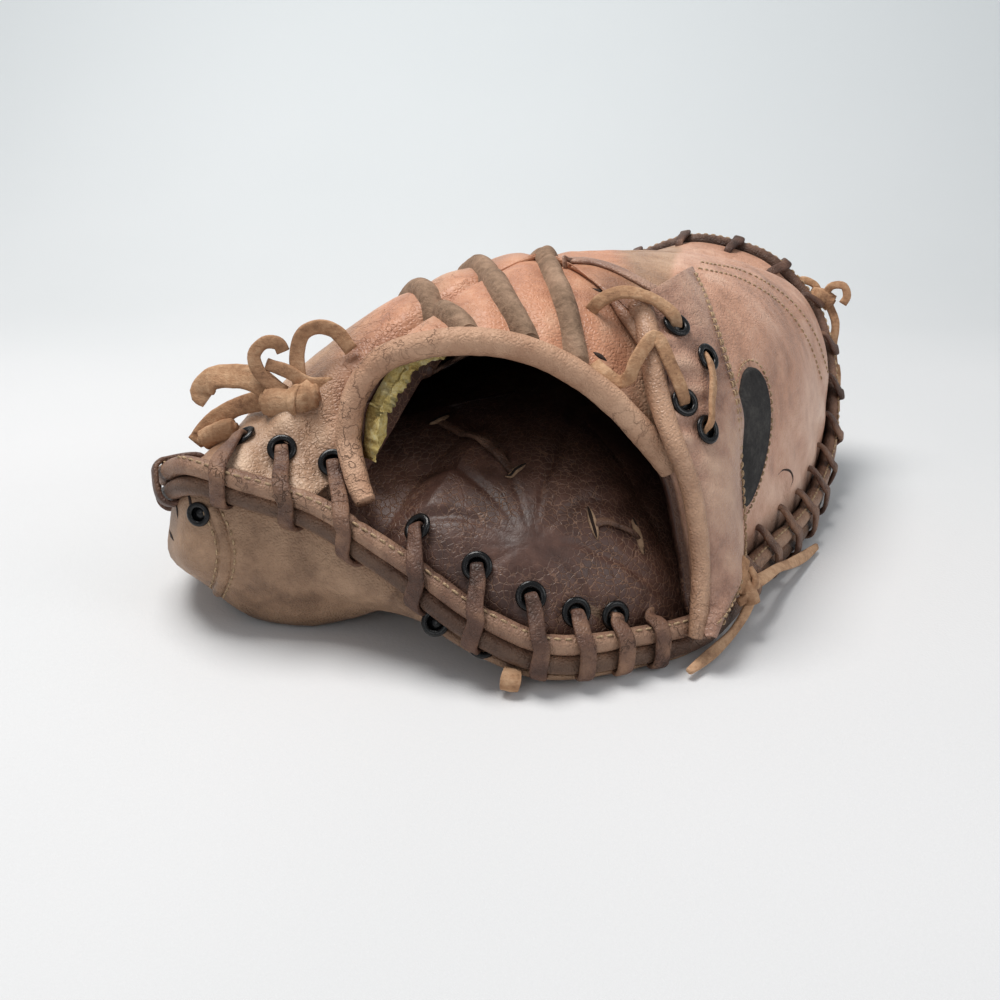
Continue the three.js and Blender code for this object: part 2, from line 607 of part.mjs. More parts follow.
// Moulded oval badge plate, blank, on the thumb side
const PLATE = { u: 31.075, lean: 0.185, halfWidth: 0.31, v: 0.234, halfHeight: 0.148 };
function badgePlate() {
  const ring = (radius, height) => steps(12).slice(1).map((t) => {
    const angle = t * 2 * Math.PI;
    const u = (PLATE.u + radius * (PLATE.halfWidth * Math.cos(angle) + PLATE.lean * Math.sin(angle))) % backEdge.length;
    const v = PLATE.v + radius * PLATE.halfHeight * Math.sin(angle);
    return seated(shellMesh, seatOf({ surface: onBack, u, v }), height);
  });
  const top = CLEAR + PATCH;
  const rings = [ring(0, top), ring(0.55, top), ring(1, top), ring(1, -1), ring(0.55, -1), ring(0, -1)];
  return cut(spindle(rings[0].map((_, i) => rings.map((points) => points[i]))), [clearOfBack]);
}

// Loose suede: a flat strip or a round cord through hand-placed points, its face turned to look
const TO_VIEWER = vec(0, -0.95, 0.3);
const strip = (points, { width, thick, look = TO_VIEWER, count = 6 }) =>
  sweep(curved(points, count).map((point) => ({ point, out: look })), flat(width, thick));
const cordOf = (points, radius, count = 4) =>
  sweep(curved(points, count).map((point) => ({ point, out: TO_VIEWER })), round(radius, 6));

// Laces of the strap: two from slits in the back over the rolled edge into its eyelets, and one between two eyelets
const overStrap = (s, t, height) => onStrap(s, t).addScaledVector(strapNormal(s, t), height).toArray();
const strapLaces = [
  strip([[30.5, 50.2, 108.6], [34, 47.8, 113], [40.8, 46.5, 116], overStrap(0.04, 0, 6), overStrap(0.1, 0.12, 5),
    overStrap(0.15, 0.23, 3.8), overStrap(0.165, 0.27, 1.2), overStrap(0.165, 0.27, -1)],
    { width: 4.4, thick: 1.6, look: vec(0.25, -0.65, 0.7), count: 10 }),
  strip([[31, 33.5, 95], [34.5, 30.5, 92.6], [38.8, 29, 90], [42, 27.5, 92], [44, 29, 96.6], overStrap(0.2, 0, 6),
    overStrap(0.26, 0.08, 5), overStrap(0.325, 0.15, 3.8), overStrap(0.345, 0.18, 1.2), overStrap(0.345, 0.18, -1)],
    { width: 4.4, thick: 1.6, look: vec(0.35, -0.8, 0.5), count: 12 }),
  strip([overStrap(0.245, 0.54, -1), overStrap(0.245, 0.54, 1.6), overStrap(0.29, 0.48, 3.9), overStrap(0.35, 0.4, 4),
    overStrap(0.4, 0.35, 3.4), overStrap(0.415, 0.33, 1.2), overStrap(0.415, 0.33, -1)],
    { width: 4, thick: 1.5, look: vec(0.85, -0.5, 0.3), count: 8 }),
];

// Two short laces that cross the palm lining
const linerMesh = new THREE.Mesh(palmLiner(), new THREE.MeshBasicMaterial({ side: THREE.DoubleSide }));
const palmLaces = [
  { line: [[-21.8, 60.1, 67], [-8, 45, 63], [5.1, 30.1, 59]], normal: vec(0, 0, 1) },
  { line: [[31, 15.4, 45.8], [38.6, 17.6, 42], [46.5, 20.5, 37.2]], normal: normalOf(onLiner, 23.1, 0.38) },
].map(({ line, normal }) => {
  const places = curved(line, 4).map((point) => ({ point: seated(linerMesh, { point, normal }, 0.7), out: normal }));
  return cut(sweep(places, flat(3.2, 1.8)), [palmLiner(CLEAR)]);
});

// Knot of lacing tails at the left end of the heel lace
const leftKnot = join([
  cordOf([[-82.9, 48, 78.2], [-72.6, 45, 78], [-62.3, 44, 82.5]], 5.5, 3),
  strip([[-78, 49, 79.5], [-84.6, 52, 83.5], [-92.9, 54, 84.6], [-101.3, 55, 83.6], [-104.5, 55, 79.6]],
    { width: 10, thick: 2.6, count: 5 }),
  strip([[-58, 48, 84], [-66, 47, 84.5], [-72.9, 47, 88.6], [-80.5, 50, 90.4]], { width: 4.6, thick: 2, count: 4 }),
  strip([[-74.3, 46.5, 81.5], [-82.2, 48, 86.8], [-84.4, 50, 94], [-80.1, 51, 97.6], [-76.2, 51, 97.4]],
    { width: 4.2, thick: 2 }),
  strip([[-69, 47, 83], [-70.1, 52, 95], [-67.8, 53, 100.5], [-62.7, 54, 102.6], [-56.9, 54, 101], [-51.5, 53, 94.5]],
    { width: 5, thick: 2.2, look: vec(0.3, -0.95, 0) }),
  strip([[-80.5, 50, 78], [-95.6, 60, 71.7], [-105.4, 62, 65.2], [-111.6, 60, 58.5]], { width: 7.4, thick: 2, count: 4 }),
  cordOf([[-94.8, 58, 64.7], [-101.5, 58, 63.1], [-109.1, 58, 59.3]], 4, 3),
]);

// Knot at the end of the rim lace, at the toe's right corner
const rimKnot = join([
  cordOf([[150, 203, 84], [156, 204, 83], [161, 203, 80]], 4.6, 3),
  strip([[156, 203, 83], [159, 202, 89], [164, 199, 89], [165, 197, 83]], { width: 3.4, thick: 1.8, count: 5 }),
  strip([[155, 205, 84], [152, 206, 89], [146, 207, 91]], { width: 3.2, thick: 1.8, count: 3 }),
  strip([[158, 203, 82], [162, 199, 72], [161, 195, 60], [162, 188, 46], [162, 181, 33]],
    { width: 4, thick: 1.8, count: 5 }),
]);

// Knot beside the strap's foot that two loose tails leave, and a knot's end under the heel
const tieKnot = join([
  cordOf([[79.5, 18.5, 19.5], [83, 22.4, 21.4], [86.5, 27, 18.5]], 3.7, 3),
  strip([[80.6, 16.6, 19.5], [83, 20.5, 24.4], [85, 26, 27.4]], { width: 4, thick: 2.2, count: 3, look: vec(0.6, -0.6, 0.5) }),
  cordOf([[83, 21.5, 21], [86.4, 19.8, 16.5], [87.4, 19.4, 13.4]], 3, 2),
]);
const heelKnot = cordOf([[0.6, -15.4, 5.2], [3.6, -16.4, 5], [6.4, -16.2, 4.4]], 3.6, 2);

// The two tails lie in the seam's own terms: how far round it, out from it, and up from it
const tail = (rows, width) =>
  strip(rows.map(([u, out, rise]) => beside(along(seam, u), -out, rise).toArray()),
    { width, thick: 1.8, look: vec(0.5, -0.5, 0.7), count: 8 });
const sideTail = tail(
  [[0.4, 7.2, 9], [0.7, 8.5, 6], [1, 8, 2], [1.3, 8, -2.5], [1.6, 8, -5.6], [1.85, 8.5, -7]], 4.4);
const frontTail = tail(
  [[0.42, 8.2, 5], [0.34, 7.6, 0], [0.2, 6.4, -4.2], [0, 6.4, -5.4], [-0.25, 8, -6], [-0.5, 11, -6.5]], 4);

const heelRun = laceThrough(heelWhips);
const rimRun = laceThrough(rimWhips);
const lacesRoom = [laceThrough(heelWhips, CLEAR), laceThrough(rimWhips, CLEAR), heelRun, rimRun];
const backHoles = heelSeats.slice(0, 3).flatMap((seat) => [eyeletHole(seat), eyeletSeat(seat)]);
const linerHoles = heelSeats.slice(3).map(eyeletHole);
const rollRoom = [roll(ROLL_RISE, CLEAR), roll(-ROLL_RISE, CLEAR)];
const footRoom = common(backShell(CLEAR), bare(new THREE.BoxGeometry(24, 24, 30).translate(-55, 28, 50)));
const strapRoom = [strapLeaf(CLEAR), strapRoll(CLEAR)];
const backRoom = [clearOfBack, shell];
const strapLaceRoom = [...backRoom, ...strapRoom, archBinding(CLEAR), ...strapSeats.map(eyelet)];

add('palm_pad', cut(palmPad(), [...lacesRoom, ...linerHoles, footRoom]), brown);
add('palm_liner', cut(palmLiner(), [...lacesRoom, ...linerHoles, footRoom]), dark);
add('back_panel', cut(shell, [thumbPrism(-0.4), ...lacesRoom, ...backHoles]), tan);
add('thumb_panel', mainPart(cut(common(shell, thumbPrism(0)), lacesRoom)), brown);
add('upper_roll', mainPart(cut(roll(ROLL_RISE), [lacesRoom[0]])), brown);
add('lower_roll', cut(roll(-ROLL_RISE), lacesRoom), brown);
add('arch_binding', archBinding(), brown);
add('fleece_lining', fleeceLining(), wool);
add('heel_lace', heelRun, lacing);
add('rim_lace', rimRun, lacing);
heelSeats.forEach((seat, i) => add(`heel_eyelet_${i + 1}`, eyelet(seat), black));
weltLines.forEach((line, i) => add(`finger_welt_${i + 1}`, cut(welt(line), [clearOfBack, lacesRoom[1]]), lacing));
add('wrist_strap', mainPart(cut(strapLeaf(), [...backRoom, ...strapSeats.map(eyeletHole)])), brown);
add('strap_roll', cut(strapRoll(), backRoom), brown);
add('badge_plate', mainPart(cut(badgePlate(), [strapRoom[0]])), black);
strapSeats.forEach((seat, i) => add(`strap_eyelet_${i + 1}`, eyelet(seat), black));
strapLaces.forEach((run, i) => add(`strap_lace_${i + 1}`, mainPart(cut(run, strapLaceRoom)), lacing));
palmLaces.forEach((run, i) => add(`palm_lace_${i + 1}`, run, lacing));
add('left_knot', cut(leftKnot, [...backRoom, ...rollRoom, lacesRoom[0]]), lacing);
add('rim_knot', cut(rimKnot, [...backRoom, ...rollRoom, lacesRoom[1]]), lacing);
add('tie_knot', cut(tieKnot, [...backRoom, ...rollRoom, ...strapRoom]), lacing);
add('tie_tail_side', cut(sideTail, [...rollRoom, lacesRoom[1], tieKnot]), lacing);
add('tie_tail_front', cut(frontTail, [...rollRoom, tieKnot]), lacing);
add('heel_knot', cut(heelKnot, [...rollRoom, lacesRoom[0]]), lacing);

// The origin is under the middle of the whole mitt, on what it lies on
const box = new THREE.Box3().setFromObject(mitt);
const middle = box.getCenter(vec(0, 0, 0));
mitt.children.forEach(({ geometry }) => geometry.translate(-middle.x, -middle.y, -box.min.z));

export default mitt;
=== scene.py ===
import math

import bpy
import numpy as np
from mathutils import Matrix, Vector
from mathutils.bvhtree import BVHTree


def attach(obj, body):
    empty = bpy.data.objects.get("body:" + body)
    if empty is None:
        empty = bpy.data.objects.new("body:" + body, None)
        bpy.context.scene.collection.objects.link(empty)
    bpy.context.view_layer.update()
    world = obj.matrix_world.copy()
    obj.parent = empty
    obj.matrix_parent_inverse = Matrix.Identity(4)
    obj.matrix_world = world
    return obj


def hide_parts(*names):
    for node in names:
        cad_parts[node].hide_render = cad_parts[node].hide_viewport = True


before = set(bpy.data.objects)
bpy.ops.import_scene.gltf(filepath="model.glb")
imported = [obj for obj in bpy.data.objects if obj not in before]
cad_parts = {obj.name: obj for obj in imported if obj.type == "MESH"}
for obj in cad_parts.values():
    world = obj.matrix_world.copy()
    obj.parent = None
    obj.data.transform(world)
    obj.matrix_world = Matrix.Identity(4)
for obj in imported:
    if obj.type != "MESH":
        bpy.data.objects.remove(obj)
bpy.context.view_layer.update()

# Camera, paper sweep and studio light. The mitt stands on a pale bluish sheet that curves up behind it,
# under one big soft light overhead and a weaker one from the right, and is seen 22 degrees from above.
MIDDLE = np.array([20.83, 110.2, 0.0])  # from the maker's frame, in millimetres, to the row frame's origin
ELEVATION = math.radians(22)


def row_frame(points):
    return (np.asarray(points, float) - MIDDLE) / 1000


camera_data = bpy.data.cameras.new("camera")
camera_data.lens = 38
camera_data.sensor_width = 36
camera_data.clip_end = 20
camera = bpy.data.objects.new("camera", camera_data)
eye = [0, -330 * math.cos(ELEVATION), 60 + 330 * math.sin(ELEVATION)]
camera.location = row_frame(eye)
camera.rotation_euler = (math.pi / 2 - ELEVATION, 0, 0)
bpy.context.scene.collection.objects.link(camera)
bpy.context.scene.camera = camera
bpy.context.scene.view_settings.view_transform = "Standard"


def linear(code):
    """A colour as the eye names it, such as C98E6E, in the linear values that a shader takes."""
    parts = [int(code[i : i + 2], 16) / 255 for i in (0, 2, 4)]
    return tuple(p / 12.92 if p <= 0.04045 else ((p + 0.055) / 1.055) ** 2.4 for p in parts) + (1.0,)


class Tone:
    """One output of a material's nodes. Sums and products of tones add Math nodes."""

    def __init__(self, finish, socket):
        self.finish = finish
        self.socket = socket

    def math(self, operation, *others):
        inputs = dict(enumerate((self, *others)))
        return self.finish.node("ShaderNodeMath", {"operation": operation}, inputs)

    def __add__(self, other):
        return self.math("ADD", other)

    def __sub__(self, other):
        return self.math("SUBTRACT", other)

    def __mul__(self, other):
        return self.math("MULTIPLY", other)

    def __rsub__(self, other):
        return self.math("MULTIPLY", -1.0).math("ADD", other)

    __radd__ = __add__
    __rmul__ = __mul__

    def between(self, low, high):
        """0 at low, 1 at high, held to that range in between."""
        settings = {"interpolation_type": "SMOOTHSTEP"}
        inputs = {"Value": self, "From Min": low, "From Max": high}
        return self.finish.node("ShaderNodeMapRange", settings, inputs)


class Finish:
    """A material built node by node on the object's own coordinates, in metres."""

    def __init__(self, name):
        self.material = bpy.data.materials.new(name)
        self.material.use_nodes = True
        self.tree = self.material.node_tree
        self.shader = self.tree.nodes["Principled BSDF"]
        self.place = self.node("ShaderNodeTexCoord", out="Object")

    def node(self, kind, settings=None, inputs=None, out=0):
        made = self.tree.nodes.new(kind)
        for key, value in (settings or {}).items():
            if key == "stops":
                ramp = made.color_ramp
                while len(ramp.elements) < len(value):
                    ramp.elements.new(0.5)
                for element, (at, colour) in zip(ramp.elements, value):
                    element.position = at
                    element.color = colour
            else:
                setattr(made, key, value)
        for key, value in (inputs or {}).items():
            if isinstance(value, Tone):
                self.tree.links.new(value.socket, made.inputs[key])
            else:
                made.inputs[key].default_value = value
        return Tone(self, made.outputs[out])

    def noise(self, scale, detail=4.0, rough=0.55, place=None, stretch=None, out="Fac"):
        at = place or self.place
        if stretch:
            at = self.node("ShaderNodeMapping", None, {"Vector": at, "Scale": stretch})
        inputs = {"Vector": at, "Scale": scale, "Detail": detail, "Roughness": rough}
        return self.node("ShaderNodeTexNoise", None, inputs, out)

    def cells(self, scale, place=None, feature="DISTANCE_TO_EDGE"):
        inputs = {"Vector": place or self.place, "Scale": scale}
        return self.node("ShaderNodeTexVoronoi", {"feature": feature}, inputs, "Distance")

    def ridges(self, scale, width, stretch=None, place=None):
        """Thin curling lines, as creases run: where a noise passes through its middle value."""
        level = self.noise(scale, 3.0, 0.5, place, stretch) - 0.5
        return level.math("ABSOLUTE").between(width, 0.0)

    def warped(self, scale, reach):
        push = self.noise(scale, 3.0, out="Color")
        push = self.node("ShaderNodeVectorMath", {"operation": "SUBTRACT"}, {0: push, 1: (0.5, 0.5, 0.5)})
        push = self.node("ShaderNodeVectorMath", {"operation": "SCALE"}, {0: push, "Scale": reach})
        return self.node("ShaderNodeVectorMath", {"operation": "ADD"}, {0: self.place, 1: push})

    def ramp(self, value, *stops):
        return self.node("ShaderNodeValToRGB", {"stops": stops}, {"Fac": value}, "Color")

    def blend(self, share, first, second, mode="MIX"):
        settings = {"data_type": "RGBA", "blend_type": mode}
        return self.node("ShaderNodeMix", settings, {0: share, 6: first, 7: second}, 2)

    def mark(self, name):
        return self.node("ShaderNodeAttribute", {"attribute_name": name}, None, "Fac")

    def relief(self, height, reach, strength=1.0):
        inputs = {"Height": height, "Distance": reach, "Strength": strength}
        normal = self.node("ShaderNodeBump", None, inputs)
        self.wire("Normal", normal)

    def wire(self, name, value):
        if isinstance(value, Tone):
            self.tree.links.new(value.socket, self.shader.inputs[name])
        else:
            self.shader.inputs[name].default_value = value


def clear_selection():
    if bpy.context.object and bpy.context.object.mode != "OBJECT":
        bpy.ops.object.mode_set(mode="OBJECT")
    bpy.ops.object.select_all(action="DESELECT")


def select_only(piece):
    clear_selection()
    piece.select_set(True)
    bpy.context.view_layer.objects.active = piece


def apply_place(piece):
    select_only(piece)
    bpy.ops.object.transform_apply(location=True, rotation=True, scale=True)


def finish_with(piece, kind, **settings):
    """Adds a modifier with these settings and applies it."""
    select_only(piece)
    modifier = piece.modifiers.new(kind.lower(), kind)
    for key, value in settings.items():
        setattr(modifier, key, value)
    bpy.ops.object.modifier_apply(modifier=modifier.name)


clear_selection()
bpy.ops.mesh.primitive_plane_add(size=4, location=(0, 0, -0.0004))
sweep_paper = bpy.context.object
sweep_paper.name = "paper_sweep"
bpy.ops.object.mode_set(mode="EDIT")
bpy.ops.mesh.select_all(action="DESELECT")
bpy.ops.object.mode_set(mode="OBJECT")
for edge in sweep_paper.data.edges:
    edge.select = all(sweep_paper.data.vertices[i].co.y > 1.9 for i in edge.vertices)
for vertex in sweep_paper.data.vertices:
    vertex.select = vertex.co.y > 1.9
bpy.ops.object.mode_set(mode="EDIT")
bpy.ops.transform.translate(value=(0, -0.9, 0))
bpy.ops.mesh.extrude_region_move(TRANSFORM_OT_translate={"value": (0, 0, 2.2)})
bpy.ops.object.mode_set(mode="OBJECT")
finish_with(sweep_paper, "BEVEL", width=0.7, segments=24, limit_method="ANGLE")
sweep_paper.data.shade_smooth()
apply_place(sweep_paper)
paper = Finish("studio_paper")
tone = paper.noise(3.0, 2.0)
near = paper.ramp(tone, (0.3, linear("D0D1D2")), (0.7, linear("D6D6D7")))
# Painted light: the paper is a darker grey in front and turns lighter and bluer towards the back, standing in for a
# brighter-lit backdrop.
backdrop_painted_light = paper.node("ShaderNodeSeparateXYZ", None, {"Vector": paper.place}, out=1).between(0.0, 1.5)
paper.wire("Base Color", paper.blend(backdrop_painted_light, near, linear("EAF0F2")))
paper.wire("Roughness", 0.75)
paper.relief(paper.noise(900.0, 3.0), 0.00012)
sweep_paper.data.materials.append(paper.material)


def soft_light(name, place, aim, size, power, colour):
    data = bpy.data.lights.new(name, "AREA")
    data.shape = "DISK"
    data.size = size
    data.energy = power
    data.color = colour
    light = bpy.data.objects.new(name, data)
    light.location = place
    light.rotation_euler = (Vector(aim) - Vector(place)).to_track_quat("-Z", "Y").to_euler()
    bpy.context.scene.collection.objects.link(light)


soft_light("overhead", (-0.3, 0.05, 1.1), (0, 0, 0), 0.6, 13.0, (1.0, 0.98, 0.955))
soft_light("right_fill", (1.0, -0.6, 0.7), (0.02, 0, 0.05), 0.7, 3.4, (0.97, 0.985, 1.0))
soft_light("front_fill", (-0.5, -1.2, 0.6), (0, 0, 0.05), 0.6, 1.4, (1.0, 0.99, 0.98))
world = bpy.data.worlds.new("studio_air")
world.use_nodes = True
world.node_tree.nodes["Background"].inputs["Color"].default_value = (0.86, 0.9, 0.94, 1)
world.node_tree.nodes["Background"].inputs["Strength"].default_value = 0.37
bpy.context.scene.world = world

# The laced seam is the line that every panel, roll and lace is set out from. The same stations as the
# solids have give the seam's place, how full the back is above it, and how the pad swells and stands below
# it.
HUB = np.array([15.0, 90.0])
CREST, FLOOR, POCKET = 121.0, 70.0, 46.0
ROLL_RISE, EDGE_IN = 3.45, 4.0
SIDES = np.array([
    [70, 12, 9, 2.2, 0, 0, 6, 22],
    [97, 55, 10, 2.6, 0, 0, 6, 26],
    [128, 103, 10, 2.8, 0, 0, 6, 28],
    [148, 148, 17, 2.6, 1, 0, 8, 30],
    [156, 181, 42, 2.2, 2, 12, 10, 32],
    [151, 202, 73, 1.6, 3, 34, 10, 34],
    [134, 212, 93, 0.42, 4, 50, 10, 34],
    [116, 219, 101, 0.18, 5, 56, 10, 34],
    [92, 224, 103, 0.2, 5, 58, 10, 34],
    [60, 234, 88, 0.2, 5, 48, 10, 34],
    [18, 228, 69, 0.45, 5, 30, 10, 34],
    [-28, 205, 52, 1.2, 5, 10, 12, 34],
    [-68, 172, 36, 1.2, 5, 0, 14, 34],
    [-100, 132, 28, 1.1, 5, 0, 14, 36],
    [-118, 90, 32, 1, 5, 0, 16, 38],
    [-121, 53, 44, 0.8, 2, 0, 18, 40],
    [-105, 27, 58, 0.65, 4, 0, 17, 42],
    [-82, 20, 54.5, 0.6, 4, 0, 13, 40],
    [-62, 16, 49, 0.6, 2, 5, 12, 34],
])
HEEL = np.array([
    [-46, 9, 42, 1, 1, 12, 10, 30],
    [-28, 0, 33, 1, 1, 13, 8, 28],
    [-8, -9, 21.5, 1, 1, 7, 6, 25],
    [15, -13, 12.5, 1, 0, 1, 6, 22],
    [43, -4, 10, 1, 0, 0, 6, 20],
])
ARCH = np.array([
    [-51, 25.4, 55, 0.8],
    [-48.3, 27.1, 70, 0.9],
    [-46, 29, 83, 1],
    [-37, 30, 94.5, 1.1],
    [-19, 28, 100.5, 1.2],
    [0, 27, 100.5, 1.3],
    [17, 26, 95, 1.4],
    [33, 25, 84, 1.6],
    [47, 26, 69, 1.8],
    [58, 26, 54, 2],
    [64, 20, 30, 2.2],
])
SEAM = np.vstack([SIDES, HEEL])
BACK_EDGE = np.vstack([SIDES[:, :4], ARCH])
FOOT = len(SIDES)  # the station where the heel and the hand opening part from the side


def unit(vectors):
    return vectors / np.maximum(1e-9, np.linalg.norm(vectors, axis=-1, keepdims=True))


def stations(rows, u):
    """Values of a closed table at u, by a smooth curve through its rows."""
    u = np.asarray(u, float)
    i = np.floor(u).astype(int)
    t = (u - i)[..., None]
    a, b, c, d = (rows[(i + k) % len(rows)] for k in (-1, 0, 1, 2))
    return 0.5 * (2 * b + (c - a) * t + (2 * a - 5 * b + 4 * c - d) * t**2 + (3 * b - a - 3 * c + d) * t**3)


class Station:
    """A place on an edge line, with out looking away from the hub and lift looking up from the line."""

    def __init__(self, rows, u):
        self.values = stations(rows, u)
        self.point = self.values[..., :3]
        ahead = stations(rows, np.asarray(u) + 0.05)[..., :3] - stations(rows, np.asarray(u) - 0.05)[...,
            :3]
        self.forward = unit(ahead)
        level = self.point - np.array([*HUB, 0.0])
        level[..., 2] = 0
        self.level = unit(level)
        along = (self.level * self.forward).sum(-1, keepdims=True)
        self.out = unit(self.level - self.forward * along)
        self.lift = np.cross(self.out, self.forward)

    def beside(self, inset, rise):
        return self.point - self.out * np.asarray(inset)[..., None] + self.lift * np.asarray(rise)[...,
            None]

    def below(self, inset, height):
        made = self.point - self.level * np.asarray(inset)[..., None]
        made[..., 2] = height
        return made


def swell(edge, top, full, v):
    power = np.maximum(2, full)
    over = 1 - np.cos(np.clip(v, 0, 1) * math.pi / 2) ** (2 / power)
    up = (1 - (1 - over) ** power) ** (1 / np.maximum(0.15, full))
    x = edge[..., 0] + (HUB[0] - edge[..., 0]) * over
    y = edge[..., 1] + (HUB[1] - edge[..., 1]) * over
    z = edge[..., 2] + (top - edge[..., 2]) * up
    return np.stack([x, y, z], -1)


def on_back(u, v):
    at = Station(BACK_EDGE, u)
    return swell(at.beside(EDGE_IN, ROLL_RISE), CREST, at.values[..., 3], v)


def on_liner(u, v, sink=0.0, reach=12.0):
    u = np.mod(u, len(SEAM))
    side = np.clip(np.maximum((FOOT + 0.8 - u) / 0.6, u - len(SEAM) + 1), 0, 1)
    edge = Station(SEAM, u).beside(EDGE_IN + reach * side, ROLL_RISE - 5.4 * side)
    edge[..., 2] -= sink
    return swell(edge, FLOOR - sink, 1.8 - 0.5 * side, v)


def normal_of(surface, u, v):
    inner = np.clip(v, 0.05, 0.94)
    du = surface(u + 0.02, inner) - surface(u - 0.02, inner)
    dv = surface(u, inner + 0.02) - surface(u, inner - 0.02)
    return unit(np.cross(du, dv))


def above(surface, u, v, height):
    return surface(u, v) + normal_of(surface, u, v) * np.asarray(height)[..., None]

# Mesh makers for leather: a skin over a grid of points, a strip or roll swept along a line, and a curve through given
# points. Each gives its piece a UV map in metres along and across.


def skin(name, points, faces, uvs=None):
    mesh = bpy.data.meshes.new(name)
    mesh.from_pydata([tuple(p) for p in row_frame(points)], [], [tuple(int(i) for i in f) for f in faces])
    if uvs is not None:
        layer = mesh.uv_layers.new(name="leather")
        corners = np.zeros(len(mesh.loops), int)
        mesh.loops.foreach_get("vertex_index", corners)
        layer.data.foreach_set("uv", np.asarray(uvs, np.float32)[corners].ravel())
    mesh.shade_smooth()
    piece = bpy.data.objects.new(name, mesh)
    bpy.context.scene.collection.objects.link(piece)
    return piece


def grid_faces(rows, columns, wrap=False):
    """Quads of a grid of points, which closes on itself along its first direction where it wraps."""
    i, k = np.meshgrid(np.arange(rows if wrap else rows - 1), np.arange(columns - 1), indexing="ij")
    j = (i + 1) % rows
    return np.stack([i * columns + k, j * columns + k, j * columns + k + 1, i * columns + k + 1],
                    -1).reshape(-1, 4)


def mark_points(piece, name, values):
    made = piece.data.attributes.new(name, "FLOAT", "POINT")
    made.data.foreach_set("value", np.asarray(values, np.float32).ravel())


def place_on(piece, slot, finish, *nodes):
    """Gives a finished piece its material, attaches it to the root and hides the nodes that it stands for. The slot
    argument is not used.
    """
    piece.data.materials.clear()
    piece.data.materials.append(finish.material)
    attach(piece, "root")
    if nodes:
        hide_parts(*nodes)


def curved(points, count):
    """Points of a smooth curve through given points, closer together where those are."""
    points = np.asarray(points, float)
    padded = np.vstack([2 * points[0] - points[1], points, 2 * points[-1] - points[-2]])
    gaps = np.sqrt(np.linalg.norm(np.diff(padded[:, :3], axis=0), axis=1)) + 1e-6
    knots = np.concatenate([[0], np.cumsum(gaps)])
    at = np.linspace(0, len(points) - 1, count)
    made = []
    for s in at:
        i = min(int(s), len(points) - 2)
        t0, t1, t2, t3 = knots[i : i + 4]
        t = t1 + (t2 - t1) * (s - i)
        p0, p1, p2, p3 = padded[i : i + 4]
        a1 = (t1 - t) / (t1 - t0) * p0 + (t - t0) / (t1 - t0) * p1
        a2 = (t2 - t) / (t2 - t1) * p1 + (t - t1) / (t2 - t1) * p2
        a3 = (t3 - t) / (t3 - t2) * p2 + (t - t2) / (t3 - t2) * p3
        b1 = (t2 - t) / (t2 - t0) * a1 + (t - t0) / (t2 - t0) * a2
        b2 = (t3 - t) / (t3 - t1) * a2 + (t - t1) / (t3 - t1) * a3
        made.append((t2 - t) / (t2 - t1) * b1 + (t - t1) / (t2 - t1) * b2)
    return np.array(made)


def round_section(radius, sides=14, flatness=1.0):
    turn = np.arange(sides) * 2 * math.pi / sides
    return np.stack([radius * np.cos(turn), radius * flatness * np.sin(turn)], -1)


def strip_section(width, thick, sides=16, square=3.2):
    turn = np.arange(sides) * 2 * math.pi / sides
    c, s = np.cos(turn), np.sin(turn)
    return np.stack([width / 2 * np.sign(c) * np.abs(c) ** (2 / square),
                     thick / 2 * np.sign(s) * np.abs(s) ** (2 / square)], -1)


def swept(points, outs, section, scale=None, closed=False, tilt=None):
    """Points and faces of a section swept along a line, its outer face turned to outs."""
    points, outs = np.asarray(points, float), np.asarray(outs, float)
    count, sides = len(points), len(section)
    if closed:
        forward = unit(np.roll(points, -1, 0) - np.roll(points, 1, 0))
    else:
        forward = unit(np.gradient(points, axis=0))
    across = unit(np.cross(forward, np.broadcast_to(outs, points.shape)))
    up = np.cross(across, forward)
    if tilt is not None:
        turn = np.asarray(tilt)[:, None]
        across, up = across * np.cos(turn) + up * np.sin(turn), up * np.cos(turn) - across * np.sin(turn)
    size = np.ones((count, 1)) if scale is None else np.asarray(scale, float).reshape(count, -1)
    wide, tall = size[:, :1], size[:, -1:]
    rings = (points[:, None] + across[:, None] * (section[None, :, :1] * wide[:, None])
             + up[:, None] * (section[None, :, 1:] * tall[:, None]))
    made = rings.reshape(-1, 3)
    i, j = np.meshgrid(np.arange(count if closed else count - 1), np.arange(sides), indexing="ij")
    ahead, beside = (i + 1) % count, (j + 1) % sides
    faces = np.stack([i * sides + j, ahead * sides + j, ahead * sides + beside, i * sides + beside],
                     -1).reshape(-1, 4)
    faces = [tuple(f) for f in faces]
    if not closed:
        faces.append(tuple(range(sides)))
        faces.append(tuple(range((count - 1) * sides, count * sides))[::-1])
    run = np.concatenate([[0], np.cumsum(np.linalg.norm(np.diff(points, axis=0), axis=1))]) / 1000
    around = np.arange(sides) / sides * 0.015
    uvs = np.stack([np.repeat(run, sides), np.tile(around, count)], -1)
    return made, faces, uvs


def several(parts):
    """One set of points, faces and UVs from several swept parts."""
    points, faces, uvs, base = [], [], [], 0
    for made, found, uv in parts:
        points.append(made)
        uvs.append(uv)
        faces += [tuple(i + base for i in f) for f in found]
        base += len(made)
    return np.vstack(points), faces, np.vstack(uvs)


def wrinkle(points, size, seed=0.0):
    """A smooth pseudo-random height from -1 to 1 at each point, with folds about size millimetres apart."""
    p = np.asarray(points, float) / size
    total = np.zeros(p.shape[:-1])
    turns = [(1.0, 0.63, -0.41), (-0.72, 1.1, 0.37), (0.45, -0.83, 1.2), (1.31, 0.2, 0.77),
             (-0.9, -0.6, 1.05)]
    for i, turn in enumerate(turns):
        total += np.sin(p @ np.array(turn) * 2.3 + seed * (i + 1) + 1.7 * np.sin(p @ np.array(turn[::-1]) * 1.3 + i))
    return total / len(turns)


